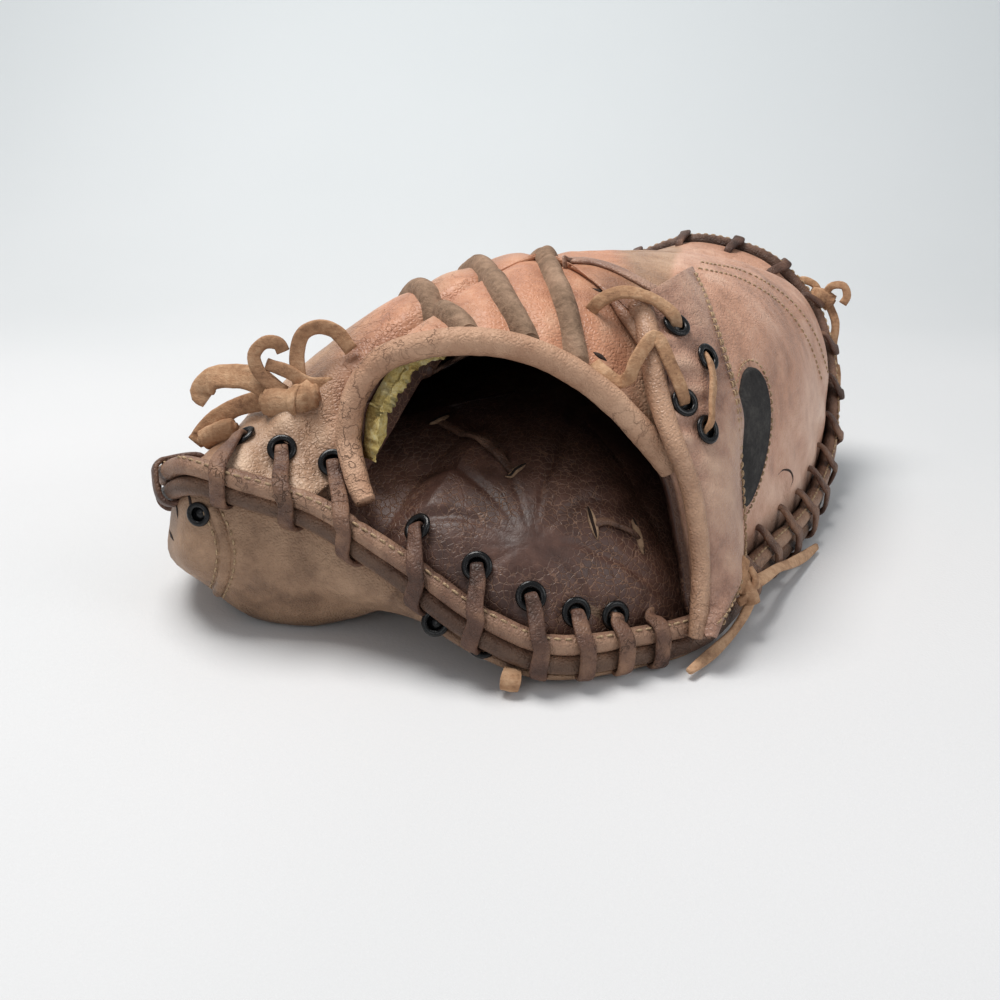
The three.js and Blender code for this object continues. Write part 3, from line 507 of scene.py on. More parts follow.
def suede_finish(name, light, mid, dark, fuzz=1.0):
    """Napped or raw leather: a dry, fuzzy face with darker scuffed patches and no shine, and darker still where a
    piece marks dirt.
    """
    made = Finish(name)
    patches = made.noise(70.0, 5.0, 0.65)
    nap = made.noise(520.0, 4.0, 0.7)
    threads = made.noise(60.0, 6.0, 0.75, stretch=(1.0, 3.0, 6.0))
    tone = patches * 0.5 + nap * 0.28 + threads * 0.3
    colour = made.ramp(tone, (0.36, linear(dark)), (0.53, linear(mid)), (0.72, linear(light)))
    grime = made.mark("grime")
    colour = made.blend(grime, colour, linear(dark))
    made.wire("Base Color", colour)
    made.wire("Roughness", (nap * 0.2 + 0.78))
    made.wire("Specular IOR Level", 0.2)
    made.relief(nap * 0.5 * fuzz + patches * 0.6 + threads * 0.4, 0.0011)
    return made


def leather_finish(name, light, mid, dark, rough=0.5, crack=1.0, fold=1.0, shine=0.4, mottle=1.0):
    """Old oiled leather: mottled, darker in its creases and where a piece marks dirt or painted shade, paler on what
    is worn.
    """
    made = Finish(name)
    bent = made.warped(55.0, 0.006)
    clouds = made.noise(16.0, 6.0, 0.6)
    spots = made.noise(85.0, 6.0, 0.68, bent)
    grain = made.cells(760.0, made.warped(400.0, 0.0008))
    pores = made.noise(1500.0, 2.0)
    cracks = made.ridges(150.0, 0.022, place=bent)
    lines = made.ridges(42.0, 0.012, stretch=(1.0, 1.9, 0.8))
    where = made.noise(22.0, 3.0, 0.6, bent).between(0.46, 0.64)
    tone = clouds * (0.55 * mottle) + spots * (0.5 * mottle) + (0.5 - 0.525 * mottle)
    worn = made.mark("worn")
    colour = made.ramp(tone + worn * 0.16, (0.34, linear(dark)), (0.5, linear(mid)), (0.68, linear(light)))
    creased = (cracks * where * (0.3 * crack)) + lines * where * (0.1 * fold)
    colour = made.blend(creased.math("MINIMUM", 0.8), colour, linear(dark))
    scuffs = made.noise(30.0, 5.0, 0.75, stretch=(1.0, 7.0, 2.5)).between(0.6, 0.72)
    colour = made.blend(scuffs * 0.3, colour, linear(light))
    # The mark darkens the leather towards a deep brown: dirt on some pieces, painted shade on others.
    grime = made.mark("grime")
    colour = made.blend(grime * 0.85, colour, tuple(c * 0.32 for c in linear(dark)[:3]) + (1.0,))
    made.wire("Base Color", colour)
    made.wire("Roughness", (spots - 0.5) * 0.35 + (rough - 0.06) + creased * 0.2 + scuffs * 0.12)
    made.wire("Specular IOR Level", shine)
    height = grain.between(0.0, 0.35) * 0.12 + pores * 0.05 + spots * 0.35 - cracks * where * (0.22 * crack)
    made.relief(height - lines * where * (0.12 * fold) + clouds * 0.25, 0.0016, 0.9)
    return made


# Two loose tails of the lacing that leave the knot at the strap's foot. They are flat suede strips that
# droop over the rolled edge and lie on the table; both ends are cut square and bare.
TAIL_LOOK = (0.5, -0.5, 0.7)
SIDE_TAIL = [[0.4, 7.2, 9], [0.7, 8.5, 6], [1, 8, 2], [1.3, 8, -2.5], [1.6, 8, -5.6], [1.85, 8.5, -7]]
FRONT_TAIL = [[0.42, 8.2, 5], [0.34, 7.6, 0], [0.2, 6.4, -4.2], [0, 6.4, -5.4], [-0.25, 8, -6],
              [-0.5, 11, -6.5]]
tail_suede = suede_finish("tail_suede", "DDBB9B", "BA9474", "7B5B48")


def tail(name, node, stations_out, width):
    rows = np.array(stations_out, float)
    at = Station(SEAM, rows[:, 0])
    line = curved(at.beside(-rows[:, 1], rows[:, 2]), 34)
    share = np.linspace(0, 1, len(line))
    wide = 1.0 + 0.13 * np.sin(share * 9 + 1) - 0.3 * share**4
    made = swept(line, TAIL_LOOK, strip_section(width, 1.8), np.stack([wide, np.ones_like(wide)], -1),
                 tilt=0.35 * np.sin(share * 5))
    piece = skin(name, *made)
    finish_with(piece, "SUBSURF", levels=1, render_levels=1)
    mark_points(piece, "grime", np.zeros(len(piece.data.vertices)))
    place_on(piece, "lacing", tail_suede, node)
    return piece


tail("tail_to_side", "tie_tail_side", SIDE_TAIL, 4.4)
tail("tail_to_front", "tie_tail_front", FRONT_TAIL, 4.0)

# The palm pad is the stuffed body of the mitt: a thick leather bag, full at the heel and the pod on the
# left, hollow beneath for the ball. Its skin sags and creases between the seam and where it stands.
OPEN_TO = 13.5  # up to this station a channel under the lower roll lets the rim lace through
pad_leather = leather_finish("pad_leather", "B9977B", "94755D", "5D4434", rough=0.55, shine=0.3)


def pad_profile(u):
    at = Station(SEAM, u)
    tread = np.maximum(0, at.values[:, 5])
    reach = np.hypot(HUB[0] - at.point[:, 0], HUB[1] - at.point[:, 1])
    open_ = np.clip(np.minimum(2 * u - 1, 2 * (OPEN_TO - u)), 0, 1)
    under = at.beside(1.2 + 0.8 * open_, -ROLL_RISE - 3.65 - 2.1 * open_)
    lip = at.below(np.minimum(at.values[:, 7], reach - 20), tread)
    bulge = np.maximum(0, at.values[:, 4])
    middle = at.below(-bulge, (under[:, 2] + tread) / 2)
    foot = at.below(at.values[:, 6], tread)
    rows = [at.beside(EDGE_IN + 3.8 * open_, -ROLL_RISE - 1.2), under]
    rows += [under * 0.62 + middle * 0.38 + at.level * 0.8, middle,
             middle * 0.5 + foot * 0.5 + at.level * 1.6, foot]
    rows += [foot * 0.5 + lip * 0.5]
    rows += [swell(lip, POCKET, 2.2, v) for v in (0.0, 0.25, 0.5, 0.75, 1.0)]
    return np.stack(rows, 1)


pad_u = np.linspace(0, len(SEAM), 420, endpoint=False)
coarse = pad_profile(pad_u)
spans = 44
profile = np.stack([curved(column, spans) for column in coarse], 0)
bed = on_liner(pad_u[:, None], np.linspace(0.94, 0.02, 8)[None, :], 2.6)
pad_points = np.concatenate([bed, profile], 1)
count, rows_of_pad = pad_points.shape[:2]
below_seam = np.clip((np.arange(rows_of_pad) - 10) / 6, 0, 1) * np.clip((34 - np.arange(rows_of_pad)) / 8,
    0, 1)
folds = wrinkle(pad_points, 26.0, 0.7) * 0.9 + wrinkle(pad_points * [1, 1, 0.45], 11.0, 2.1) * 0.45
from_hub = unit(pad_points - np.array([15.0, 90.0, 40.0]))
pad_points = pad_points + from_hub * (folds * below_seam)[..., None]
pad_points[..., 2] = np.maximum(pad_points[..., 2], 0.05)
pad_faces = [tuple(f) for f in grid_faces(count, rows_of_pad, True)]
pad_faces.append(tuple(i * rows_of_pad for i in range(count))[::-1])
pad_faces.append(tuple(i * rows_of_pad + rows_of_pad - 1 for i in range(count)))
pad = skin("palm_pad_leather", pad_points.reshape(-1, 3), [f[::-1] for f in pad_faces])
row_of = np.tile(np.arange(rows_of_pad), count)
# Painted shade: the rows tucked under the lower rolled edge are darkened, and the skin within 2 mm of the floor gets
# a painted contact shadow.
mark_points(pad, "grime", np.clip((13 - row_of) / 4, 0, 1) * 0.75 + np.clip((pad_points.reshape(-1, 3)[:,
    2] < 2) * 0.3, 0, 1))
mark_points(pad, "worn", np.clip(wrinkle(pad_points.reshape(-1, 3), 30, 5), 0, 1))
finish_with(pad, "WELD", merge_threshold=0.00002)
place_on(pad, "pad_leather", pad_leather, "palm_pad")

# The palm lining is one dark, sweat-stained sheet that forms the floor of the hand opening. Hands have polished it
# and pressed long creases into it, which run from the heel towards the fingers. Further into the opening it is
# painted darker still, as painted shade inside the mitt.
liner_leather = Finish("lining_leather")
bent = liner_leather.warped(60.0, 0.007)
stains = liner_leather.noise(20.0, 6.0, 0.6, bent)
fine = liner_leather.noise(160.0, 5.0, 0.7)
crackle = liner_leather.cells(430.0, liner_leather.warped(160.0, 0.004)).between(0.09, 0.0)
web = liner_leather.ridges(48.0, 0.012, stretch=(1.0, 0.6, 1.0))
patchy = liner_leather.noise(26.0, 3.0).between(0.4, 0.6)
depth = liner_leather.mark("deep")
tone = stains * 0.6 + fine * 0.3 + 0.05
colour = liner_leather.ramp(tone, (0.3, linear("2A1A15")), (0.5, linear("4E342B")), (0.7, linear("704E40")))
colour = liner_leather.blend(crackle * patchy * 0.42, colour, linear("A27C62"))
colour = liner_leather.blend(web * patchy * 0.12, colour, linear("24140F"))
# Painted shade: the further the lining lies into the opening, the closer it is blended to a near-black brown.
colour = liner_leather.blend(depth * 0.85, colour, linear("1F120F"))
liner_leather.wire("Base Color", colour)
liner_leather.wire("Roughness", fine * 0.35 + 0.27)
liner_leather.wire("Specular IOR Level", 0.45)
liner_leather.relief(stains * 0.6 + fine * 0.25 - crackle * patchy * 0.12 - web * patchy * 0.08, 0.0017,
                     0.9)

HEEL_HOLES = [
    (on_back, 15.94, 0.327, 16.5, 0.15), (on_back, 16.74, 0.32, 17.4, 0.45), (on_back, 17.55, 0.342, 18.5,
        0.7),
    (on_liner, 19.8, 0.197, 19.95, 0.5), (on_liner, 20.85, 0.188, 20.9, 0.35), (on_liner, 21.72, 0.165,
        21.8, 0.25),
    (on_liner, 22.38, 0.122, 22.38, 0.1), (on_liner, 22.86, 0.088, 22.83, 0.05), (on_liner, 23.38, 0.085,
        23.28, 0.05),
]
seats = [(surface(np.array(u), np.array(v)), normal_of(surface, np.array(u), np.array(v)))
         for surface, u, v, _, _ in HEEL_HOLES]


def dimple(points, places, depth, radius):
    """How far each point sinks beside the holes that are punched at these places."""
    sunk = np.zeros(points.shape[:-1])
    for place in places:
        away = np.linalg.norm(points - place, axis=-1)
        sunk = np.maximum(sunk, depth * np.clip((radius - away) / (0.35 * radius), 0, 1))
        sunk = np.maximum(sunk,
                          0.5 * np.exp(-(((away - 1.6 * radius) / (1.2 * radius)) ** 2)) * (away > radius))
    return sunk


liner_u = np.linspace(0, len(SEAM), 440, endpoint=False)
liner_v = np.linspace(0, 0.985, 94)
grid_u, grid_v = np.meshgrid(liner_u, liner_v, indexing="ij")
liner_points = on_liner(grid_u, grid_v, reach=3.5)
liner_up = np.stack([normal_of(on_liner, grid_u[:, k], grid_v[:, k]) for k in range(len(liner_v))], 1)
CREASE_FROM = np.array([10.0, 5.0])
turn = np.arctan2(liner_points[..., 1] - CREASE_FROM[1], liner_points[..., 0] - CREASE_FROM[0])
away = np.hypot(liner_points[..., 0] - CREASE_FROM[0], liner_points[..., 1] - CREASE_FROM[1])
rays = np.sin(turn * 11 + wrinkle(liner_points, 30, 3.0) * 2.4)
creases = -(np.clip(rays - 0.45, 0, 1) / 0.55) ** 2 * np.clip(away / 30, 0, 1) * np.clip((110 - away) / 40,
    0, 1)
liner_height = creases * 1.3 + wrinkle(liner_points, 17.0, 1.3) * 0.55 + wrinkle(liner_points, 6.5,
    2.9) * 0.22
liner_height *= np.clip(grid_v / 0.12, 0, 1)
liner_height -= dimple(liner_points, [p for p, _ in seats[3:]], 2.2, 2.9)
liner_points = liner_points + liner_up * liner_height[..., None]
flat_points = liner_points.reshape(-1, 3)
top = np.array([[HUB[0], HUB[1], FLOOR]])
liner_faces = [tuple(f) for f in grid_faces(len(liner_u), len(liner_v), True)]
last = len(liner_v) - 1
liner_faces += [(i * len(liner_v) + last, ((i + 1) % len(liner_u)) * len(liner_v) + last, len(flat_points))
                for i in range(len(liner_u))]
liner = skin("palm_lining", np.vstack([flat_points, top]), liner_faces)
# The mark rises from 0 near the heel to 1 deep in the opening and drives the lining's painted shade.
mark_points(liner, "deep", np.append(np.clip((flat_points[:, 1] - 18) / 50, 0, 1), 1.0))
finish_with(liner, "SOLIDIFY", thickness=0.002, offset=-1.0)
place_on(liner, "lining_leather", liner_leather, "palm_liner")

# The two rolled edges are leather folded over a cord and sewn shut, one on the back and one on the pad. The
# laces grip them and pinch them, and a line of thread runs along the upper one beside the back.
ROLL_RADIUS, LACE_WIDTH, LACE_THICK = 3.2, 5.6, 1.8
WRAP = ROLL_RADIUS + LACE_THICK / 2 + 0.7
RIM_PITCH = 23.0  # millimetres between the rim lace's turns
roll_leather = leather_finish("roll_leather", "A28069", "7B5C4B", "4A342A", rough=0.55, crack=1.2,
                              shine=0.32)

rim_run = Station(SEAM, np.linspace(0.62, 15.45, 1600)).point
travelled = np.concatenate([[0], np.cumsum(np.linalg.norm(np.diff(rim_run, axis=0), axis=1))])
rim_turns = np.interp(np.arange(6, travelled[-1], RIM_PITCH), travelled, np.linspace(0.62, 15.45, 1600))
grips = np.concatenate([rim_turns + 0.05, [grip + 0.5 * slant for _, _, _, grip, slant in HEEL_HOLES]])


def roll(name, rise, node, seed):
    u = np.linspace(0, len(SEAM), 1500, endpoint=False)
    at = Station(SEAM, u)
    line = at.beside(0 * u, rise + 0 * u)
    line += at.lift * (wrinkle(line, 35.0, seed) * 0.35)[:, None]
    pinch = np.exp(-((np.abs(u[:, None] - grips[None, :]) / 0.07) ** 2)).max(1)
    size = 1.02 + 0.05 * wrinkle(line, 14.0, seed + 1) + 0.03 * wrinkle(line, 5.0, seed + 2) - 0.13 * pinch
    points, faces, uvs = swept(line, at.out, round_section(ROLL_RADIUS + 0.1, 18), size, closed=True)
    points[:, 2] = np.maximum(points[:, 2], 0.1)
    piece = skin(name, points, faces, uvs)
    around = np.arange(18) * 2 * math.pi / 18
    hollow = np.tile(np.clip(-np.sin(around), 0, 1) ** 2, len(u)) * 0.25
    inner = np.sin(around) if rise < 0 else -np.sin(around)
    gap = np.tile(np.clip(inner * 1.5 - 0.5, 0, 1), len(u)) * 0.8
    # Painted shade: the roll is darkened on its inner face, on the face taken as the gap between the rolls, and where
    # the laces pinch it.
    mark_points(piece, "grime", np.maximum(hollow, gap) + np.repeat(pinch, 18) * 0.3)
    mark_points(piece, "worn", np.tile(np.clip(np.sin(around), 0, 1), len(u)) * 0.6)
    place_on(piece, "roll_leather", roll_leather, node)
    return piece


roll("upper_rolled_edge", ROLL_RISE, "upper_roll", 0.3)
roll("lower_rolled_edge", -ROLL_RISE, "lower_roll", 4.1)

# The back of the mitt: shaped panels of orange tan leather over the hand, and a browner one over the thumb,
# sewn together along one line. It is puffed up between the finger welts and folded where the hand bends it.
THUMB_LINE = np.array([[55.5, -5], [55.5, 30], [60, 60], [64, 90], [72, 125], [82, 170], [90, 240]])
WELT_LINES = [
    [[-12, 37], [-19.4, 52.7], [-29.6, 86.3], [-38, 118], [-48, 148], [-58, 172]],
    [[7.5, 36], [1.7, 50], [-2.5, 70], [-7.6, 96], [-14, 130], [-20, 165], [-26, 194]],
    [[24.5, 36], [22, 50.7], [19, 70], [17.4, 88], [15.5, 120], [14, 160], [16, 205]],
]
back_leather = Finish("back_leather")
bent = back_leather.warped(55.0, 0.006)
clouds = back_leather.noise(15.0, 6.0, 0.6)
spots = back_leather.noise(90.0, 6.0, 0.68, bent)
grain = back_leather.cells(700.0, back_leather.warped(380.0, 0.0009))
cracks = back_leather.ridges(140.0, 0.02, place=bent)
where = back_leather.noise(25.0, 3.0, 0.6, bent).between(0.46, 0.66)
lines = back_leather.ridges(36.0, 0.01, stretch=(0.8, 1.0, 2.2))
thumb_side = back_leather.mark("thumb")
warm = back_leather.mark("warm")
tone = clouds * 0.55 + spots * 0.42 + back_leather.mark("worn") * 0.14
tan = back_leather.ramp(tone, (0.34, linear("9A6248")), (0.5, linear("C98E6E")), (0.68, linear("E0B698")))
brown = back_leather.ramp(tone, (0.34, linear("7A5A46")), (0.5, linear("AB876C")), (0.68, linear("CDAE93")))
colour = back_leather.blend(warm, brown, tan)
thumb_colour = back_leather.ramp(tone, (0.34, linear("936A55")), (0.5, linear("C4957C")),
                                 (0.68, linear("E3BFA8")))
colour = back_leather.blend(thumb_side, colour, thumb_colour)
creased = cracks * where * 0.24 + lines * where * 0.08
colour = back_leather.blend(creased.math("MINIMUM", 0.75), colour, linear("5C3A29"))
scuffs = back_leather.noise(28.0, 5.0, 0.75, stretch=(1.0, 6.0, 2.0)).between(0.58, 0.72)
colour = back_leather.blend(scuffs * 0.4, colour, linear("DDBA9D"))
# The mark blends the back towards a dark brown: painted shade along the rim, the welt channels and under the strap
# laces, with a dark stain there, and darker leather round the heel eyelets.
colour = back_leather.blend(back_leather.mark("grime") * 0.8, colour, linear("3F281D"))
back_leather.wire("Base Color", colour)
back_leather.wire("Roughness", (spots - 0.5) * 0.35 + 0.44 + creased * 0.2)
back_leather.wire("Specular IOR Level", 0.4)
height = grain.between(0.0,
                       0.35) * 0.12 + spots * 0.35 + clouds * 0.25 - cracks * where * 0.2 - lines * where * 0.1
back_leather.relief(height, 0.0016, 0.85)

back_u = np.linspace(0, len(BACK_EDGE), 540, endpoint=False)
back_v = np.linspace(0, 0.985, 86)
grid_u, grid_v = np.meshgrid(back_u, back_v, indexing="ij")
back_points = on_back(grid_u, grid_v)
back_up = np.stack([normal_of(on_back, grid_u[:, k], grid_v[:, k]) for k in range(len(back_v))], 1)
plan_x, plan_y = back_points[..., 0], back_points[..., 1]
thumb_edge = np.interp(plan_y, THUMB_LINE[:, 1], THUMB_LINE[:, 0])
thumb = np.clip((plan_x - thumb_edge) / 1.5 + 0.5, 0, 1)
channel = np.zeros_like(plan_x)
for line in WELT_LINES:
    fine_line = curved(np.array(line, float), 60)
    gap = np.full(plan_x.shape, 99.0)
    for x, y in fine_line[:, :2]:
        gap = np.minimum(gap, np.hypot(plan_x - x, plan_y - y))
    channel = np.maximum(channel, np.exp(-((gap / 7.5) ** 2)))
top_side = np.clip((back_points[..., 2] - 70) / 25, 0, 1)
back_height = wrinkle(back_points, 30.0, 0.9) * 0.9 + wrinkle(back_points, 12.0,
                                                              4.4) * 0.4 + wrinkle(back_points, 5.0,
                                                                  1.1) * 0.12
flank = np.clip((-45 - plan_x) / 25, 0, 1) * np.clip((80 - plan_y) / 40, 0, 1)
back_height += flank * 1.1 * np.sin(plan_x * 0.33 + 1.6 * np.sin(back_points[..., 2] * 0.09))
low_right = np.clip((plan_x - 95) / 20, 0, 1) * np.clip((60 - back_points[..., 2]) / 30, 0, 1)
back_height += low_right * 1.0 * np.sin(plan_x * 0.42 + back_points[..., 2] * 0.25)
back_height -= channel * top_side * 1.3
back_height += thumb * 0.5
back_height *= np.clip(grid_v / 0.1, 0, 1)
back_height -= dimple(back_points, [p for p, _ in seats[:3]], 2.4, 2.9)
back_points = back_points + back_up * back_height[..., None]
skirt = on_back(back_u, 0 * back_u) - Station(BACK_EDGE, back_u).lift * 2.2
back_points = np.concatenate([skirt[:, None], back_points], 1)
columns = back_points.shape[1]
flat_points = back_points.reshape(-1, 3)
back_faces = [tuple(f) for f in grid_faces(len(back_u), columns, True)]
back_faces += [(i * columns + columns - 1, ((i + 1) % len(back_u)) * columns + columns - 1,
                len(flat_points))
               for i in range(len(back_u))]
all_points = np.vstack([flat_points, [[HUB[0], HUB[1], CREST]]])
back = skin("back_panels", all_points, back_faces)


def with_skirt(values, at_hub):
    return np.append(np.concatenate([values[:, :1], values], 1).ravel(), at_hub)


# Painted shade along the back's rim, where it meets the rolled edge and the binding, and a darkening round the heel
# eyelets.
rim_painted_shade = np.clip((0.035 - grid_v) / 0.035, 0, 1)
darker_near_holes = np.zeros_like(plan_x)
for place, _ in seats[:3]:
    darker_near_holes = np.maximum(darker_near_holes, np.exp(-((np.linalg.norm(back_points[:, 1:] - place,
                                                               axis=-1) / 6.5) ** 2)))
warmth = np.clip((plan_x + 62) / 22, 0, 1) * np.clip((50 - plan_x) / 8, 0, 1) * np.clip((190 - plan_y) / 40,
    0, 1)
warmth *= 0.55 + 0.45 * np.clip(wrinkle(back_points[:, 1:], 30, 2.0) + 0.6, 0, 1)
mark_points(back, "thumb", with_skirt(thumb, 0.0))
mark_points(back, "warm", with_skirt(warmth, 1.0))
mark_points(back, "worn", with_skirt(np.clip(back_height * 0.5, 0, 1), 0.2))
# Painted shadow under the strap laces right of the third welt, over a dark stain there. Painted shade also runs along
# the welt channels on top.
lace_shadow_and_stain = np.exp(-(((plan_x - 41) / 10) ** 2) - ((plan_y - 58) / 24) ** 2) * top_side * 0.75
painted_shade_and_dark_marks = np.maximum(np.maximum(rim_painted_shade, darker_near_holes * 0.7), np.maximum(channel * top_side * 0.35, lace_shadow_and_stain))
mark_points(back, "grime", with_skirt(painted_shade_and_dark_marks, 0.1))
back_tree = BVHTree.FromPolygons([tuple(p) for p in row_frame(all_points)],
                                 [tuple(int(i) for i in f) for f in back_faces])
place_on(back, "back_leather", back_leather, "back_panel", "thumb_panel")
back.data.materials.append(liner_leather.material)
# The leather thins out to a skin around the crest, where its rows of points meet, so its inner face stays inside.
thin = back.vertex_groups.new(name="thick")
from_crest = np.hypot(all_points[:, 0] - HUB[0], all_points[:, 1] - HUB[1])
thickness_steps = np.round(np.clip((from_crest - 34) / 14, 0, 1) * 10).astype(int)
for step in range(11):
    thin.add([int(i) for i in np.nonzero(thickness_steps == step)[0]], step / 10, "REPLACE")
finish_with(back, "SOLIDIFY", thickness=0.003, offset=-1.0, material_offset=1, material_offset_rim=1,
            vertex_group="thick", thickness_vertex_group=0.06, use_quality_normals=True)
for face in back.data.polygons:
    if face.center.z > 0.098:
        face.material_index = 0
mark_points(back, "depth", np.ones(len(back.data.vertices)))

# The binding is a strip of leather folded over the raw edge of the hand opening and sewn through. It has
# dried out and is finely cracked all along, and its left foot is frayed.
binding_leather = leather_finish("binding_leather", "CBA488", "AC846A", "6C4C3C", rough=0.62, crack=1.6,
                                 fold=1.3, shine=0.25)
BINDING_RADIUS = 3.9
binding_at = Station(BACK_EDGE, np.linspace(FOOT + 1, FOOT + len(ARCH) - 2.3, 16))
binding_line = np.vstack([[-44.2, 15.5, 53], [-47, 20, 58], binding_at.beside(np.full(16, -0.5), np.full(16,
    ROLL_RISE - 0.6))])
binding_out = np.vstack([binding_at.out[:1], binding_at.out[:1], binding_at.out])
binding_line, binding_out = curved(binding_line, 420), unit(curved(binding_out, 420))
size = 1.08 + 0.05 * wrinkle(binding_line, 9.0, 0.5) + 0.03 * wrinkle(binding_line, 3.0, 1.5)
size *= np.clip(0.82 + np.arange(420) / 200, 0.82, 1)
points, faces, uvs = swept(binding_line, binding_out, round_section(BINDING_RADIUS + 0.25, 24, 0.92), size)
binding = skin("opening_binding", points, faces, uvs)
around = np.tile(np.arange(24) * 2 * math.pi / 24, 420)
# Painted shade on the binding's side that turns in towards the back it is sewn to; its other side is paler with wear.
mark_points(binding, "grime", np.clip(-np.sin(around) - 0.3, 0, 1) * 0.5)
mark_points(binding, "worn", np.clip(np.sin(around), 0, 1) * 0.5)
place_on(binding, "roll_leather", binding_leather, "arch_binding")

# Wool fleece is glued under the back behind the binding, to pad the hand. It is matted, cream and a little
# yellowed, and it shows in tufts below the binding.
wool = Finish("fleece_wool")
curl = wool.noise(420.0, 5.0, 0.75, wool.warped(300.0, 0.003))
lumps = wool.noise(130.0, 4.0, 0.6)
wool.wire("Base Color", wool.ramp(curl * 0.6 + lumps * 0.4, (0.33, linear("BF9A52")),
                                  (0.5, linear("F0D68A")), (0.66, linear("FFF3C4"))))
wool.wire("Roughness", (curl * 0.1 + 0.86))
wool.wire("Specular IOR Level", 0.1)
wool.relief(curl + lumps * 0.5, 0.0022, 1.0)
fleece_u = np.linspace(FOOT + 0.62, FOOT + 7.4, 420)
depth_v = np.linspace(0, 0.26, 26)
under_u, under_v = np.meshgrid(fleece_u, depth_v, indexing="ij")
hang = 7.2 + 3.2 * np.exp(-((under_v / 0.05) ** 2))
lower = above(on_back, under_u, under_v, -hang)
upper = above(on_back, under_u, under_v, np.full(under_u.shape, -3.3))
tuft_up = unit(lower - upper)
tufts = np.clip(wrinkle(lower, 1.9, 0.2) + 0.3, 0, 1) * 1.7 + wrinkle(lower, 5.5,
    3.3) * 1.1 + wrinkle(lower, 0.95, 1.0) * 0.5
lower = lower + tuft_up * tufts[..., None] * np.clip(1 - (under_v / 0.3) ** 2, 0, 1)[..., None]
lower[:, 0] += np.array([0, -1.0, -0.4]) * np.clip(wrinkle(lower[:, 0], 2.2, 5.0), -0.4, 1)[:, None]
ring = np.concatenate([lower, upper[:, ::-1]], 1)
ring_size = ring.shape[1]
fleece_faces = [tuple(f) for f in grid_faces(len(fleece_u), ring_size)]
fleece_faces += [(i * ring_size + ring_size - 1, (i + 1) * ring_size + ring_size - 1, (i + 1) * ring_size,
                  i * ring_size)
                 for i in range(len(fleece_u) - 1)]
fleece_faces += [tuple(range(ring_size)),
                 tuple(range((len(fleece_u) - 1) * ring_size, len(fleece_u) * ring_size))[::-1]]
fleece = skin("fleece_pile", ring.reshape(-1, 3), [f[::-1] for f in fleece_faces])
place_on(fleece, "fleece", wool, "fleece_lining")

# Black enamelled brass eyelets line the holes of the heel lace and of the strap. One is turned up from a
# ring and a short barrel, and each is set in its hole and clenched down.
enamel = Finish("black_enamel")
chips = enamel.noise(900.0, 4.0, 0.7)
enamel.wire("Base Color", enamel.ramp(chips, (0.3, linear("080809")), (0.7, linear("121214")),
                                      (0.78, linear("5A5249"))))
enamel.wire("Roughness", chips * 0.25 + 0.12)
enamel.wire("Specular IOR Level", 0.35)
enamel.relief(chips, 0.0002, 0.5)
clear_selection()
bpy.ops.mesh.primitive_torus_add(major_segments=40, minor_segments=14, major_radius=0.0039,
                                 minor_radius=0.00115)
eyelet_form = bpy.context.object
eyelet_form.name = "eyelet_form"
bpy.ops.object.mode_set(mode="EDIT")
bpy.ops.mesh.select_all(action="SELECT")
bpy.ops.transform.resize(value=(1, 1, 0.72), center_override=(0, 0, 0))
bpy.ops.mesh.select_all(action="DESELECT")
bpy.ops.mesh.primitive_cylinder_add(vertices=32, radius=0.0031, depth=0.0022, location=(0, 0, -0.0016))
bpy.ops.object.mode_set(mode="OBJECT")
eyelet_form.data.shade_smooth()


def set_eyelet(name, place, normal, node=None, size=1.0):
    piece = bpy.data.objects.new(name, eyelet_form.data.copy())
    bpy.context.scene.collection.objects.link(piece)
    turn = Vector(normal).to_track_quat("Z", "Y").to_matrix().to_4x4()
    turn.translation = Vector(row_frame(np.asarray(place) + np.asarray(normal) * 0.55))
    piece.data.transform(turn @ Matrix.Scale(size, 4))
    place_on(piece, "eyelet", enamel, *([node] if node else []))
    return piece


for i, (place, normal) in enumerate(seats):
    set_eyelet(f"heel_eyelet_ring_{i + 1}", place, normal, f"heel_eyelet_{i + 1}")

# One long lace draws the heel together, and another the rest of the rim. Each is a flat strip of oiled
# leather that comes up through a hole, folds over its edge, wraps both rolls and goes back between them.
lace_leather = leather_finish("lace_leather", "8F6D57", "61463A", "37261F", rough=0.55, crack=1.4, fold=0.6,
                              shine=0.3)
SUNK_IN, SUNK_BY = 5.7, -5.7


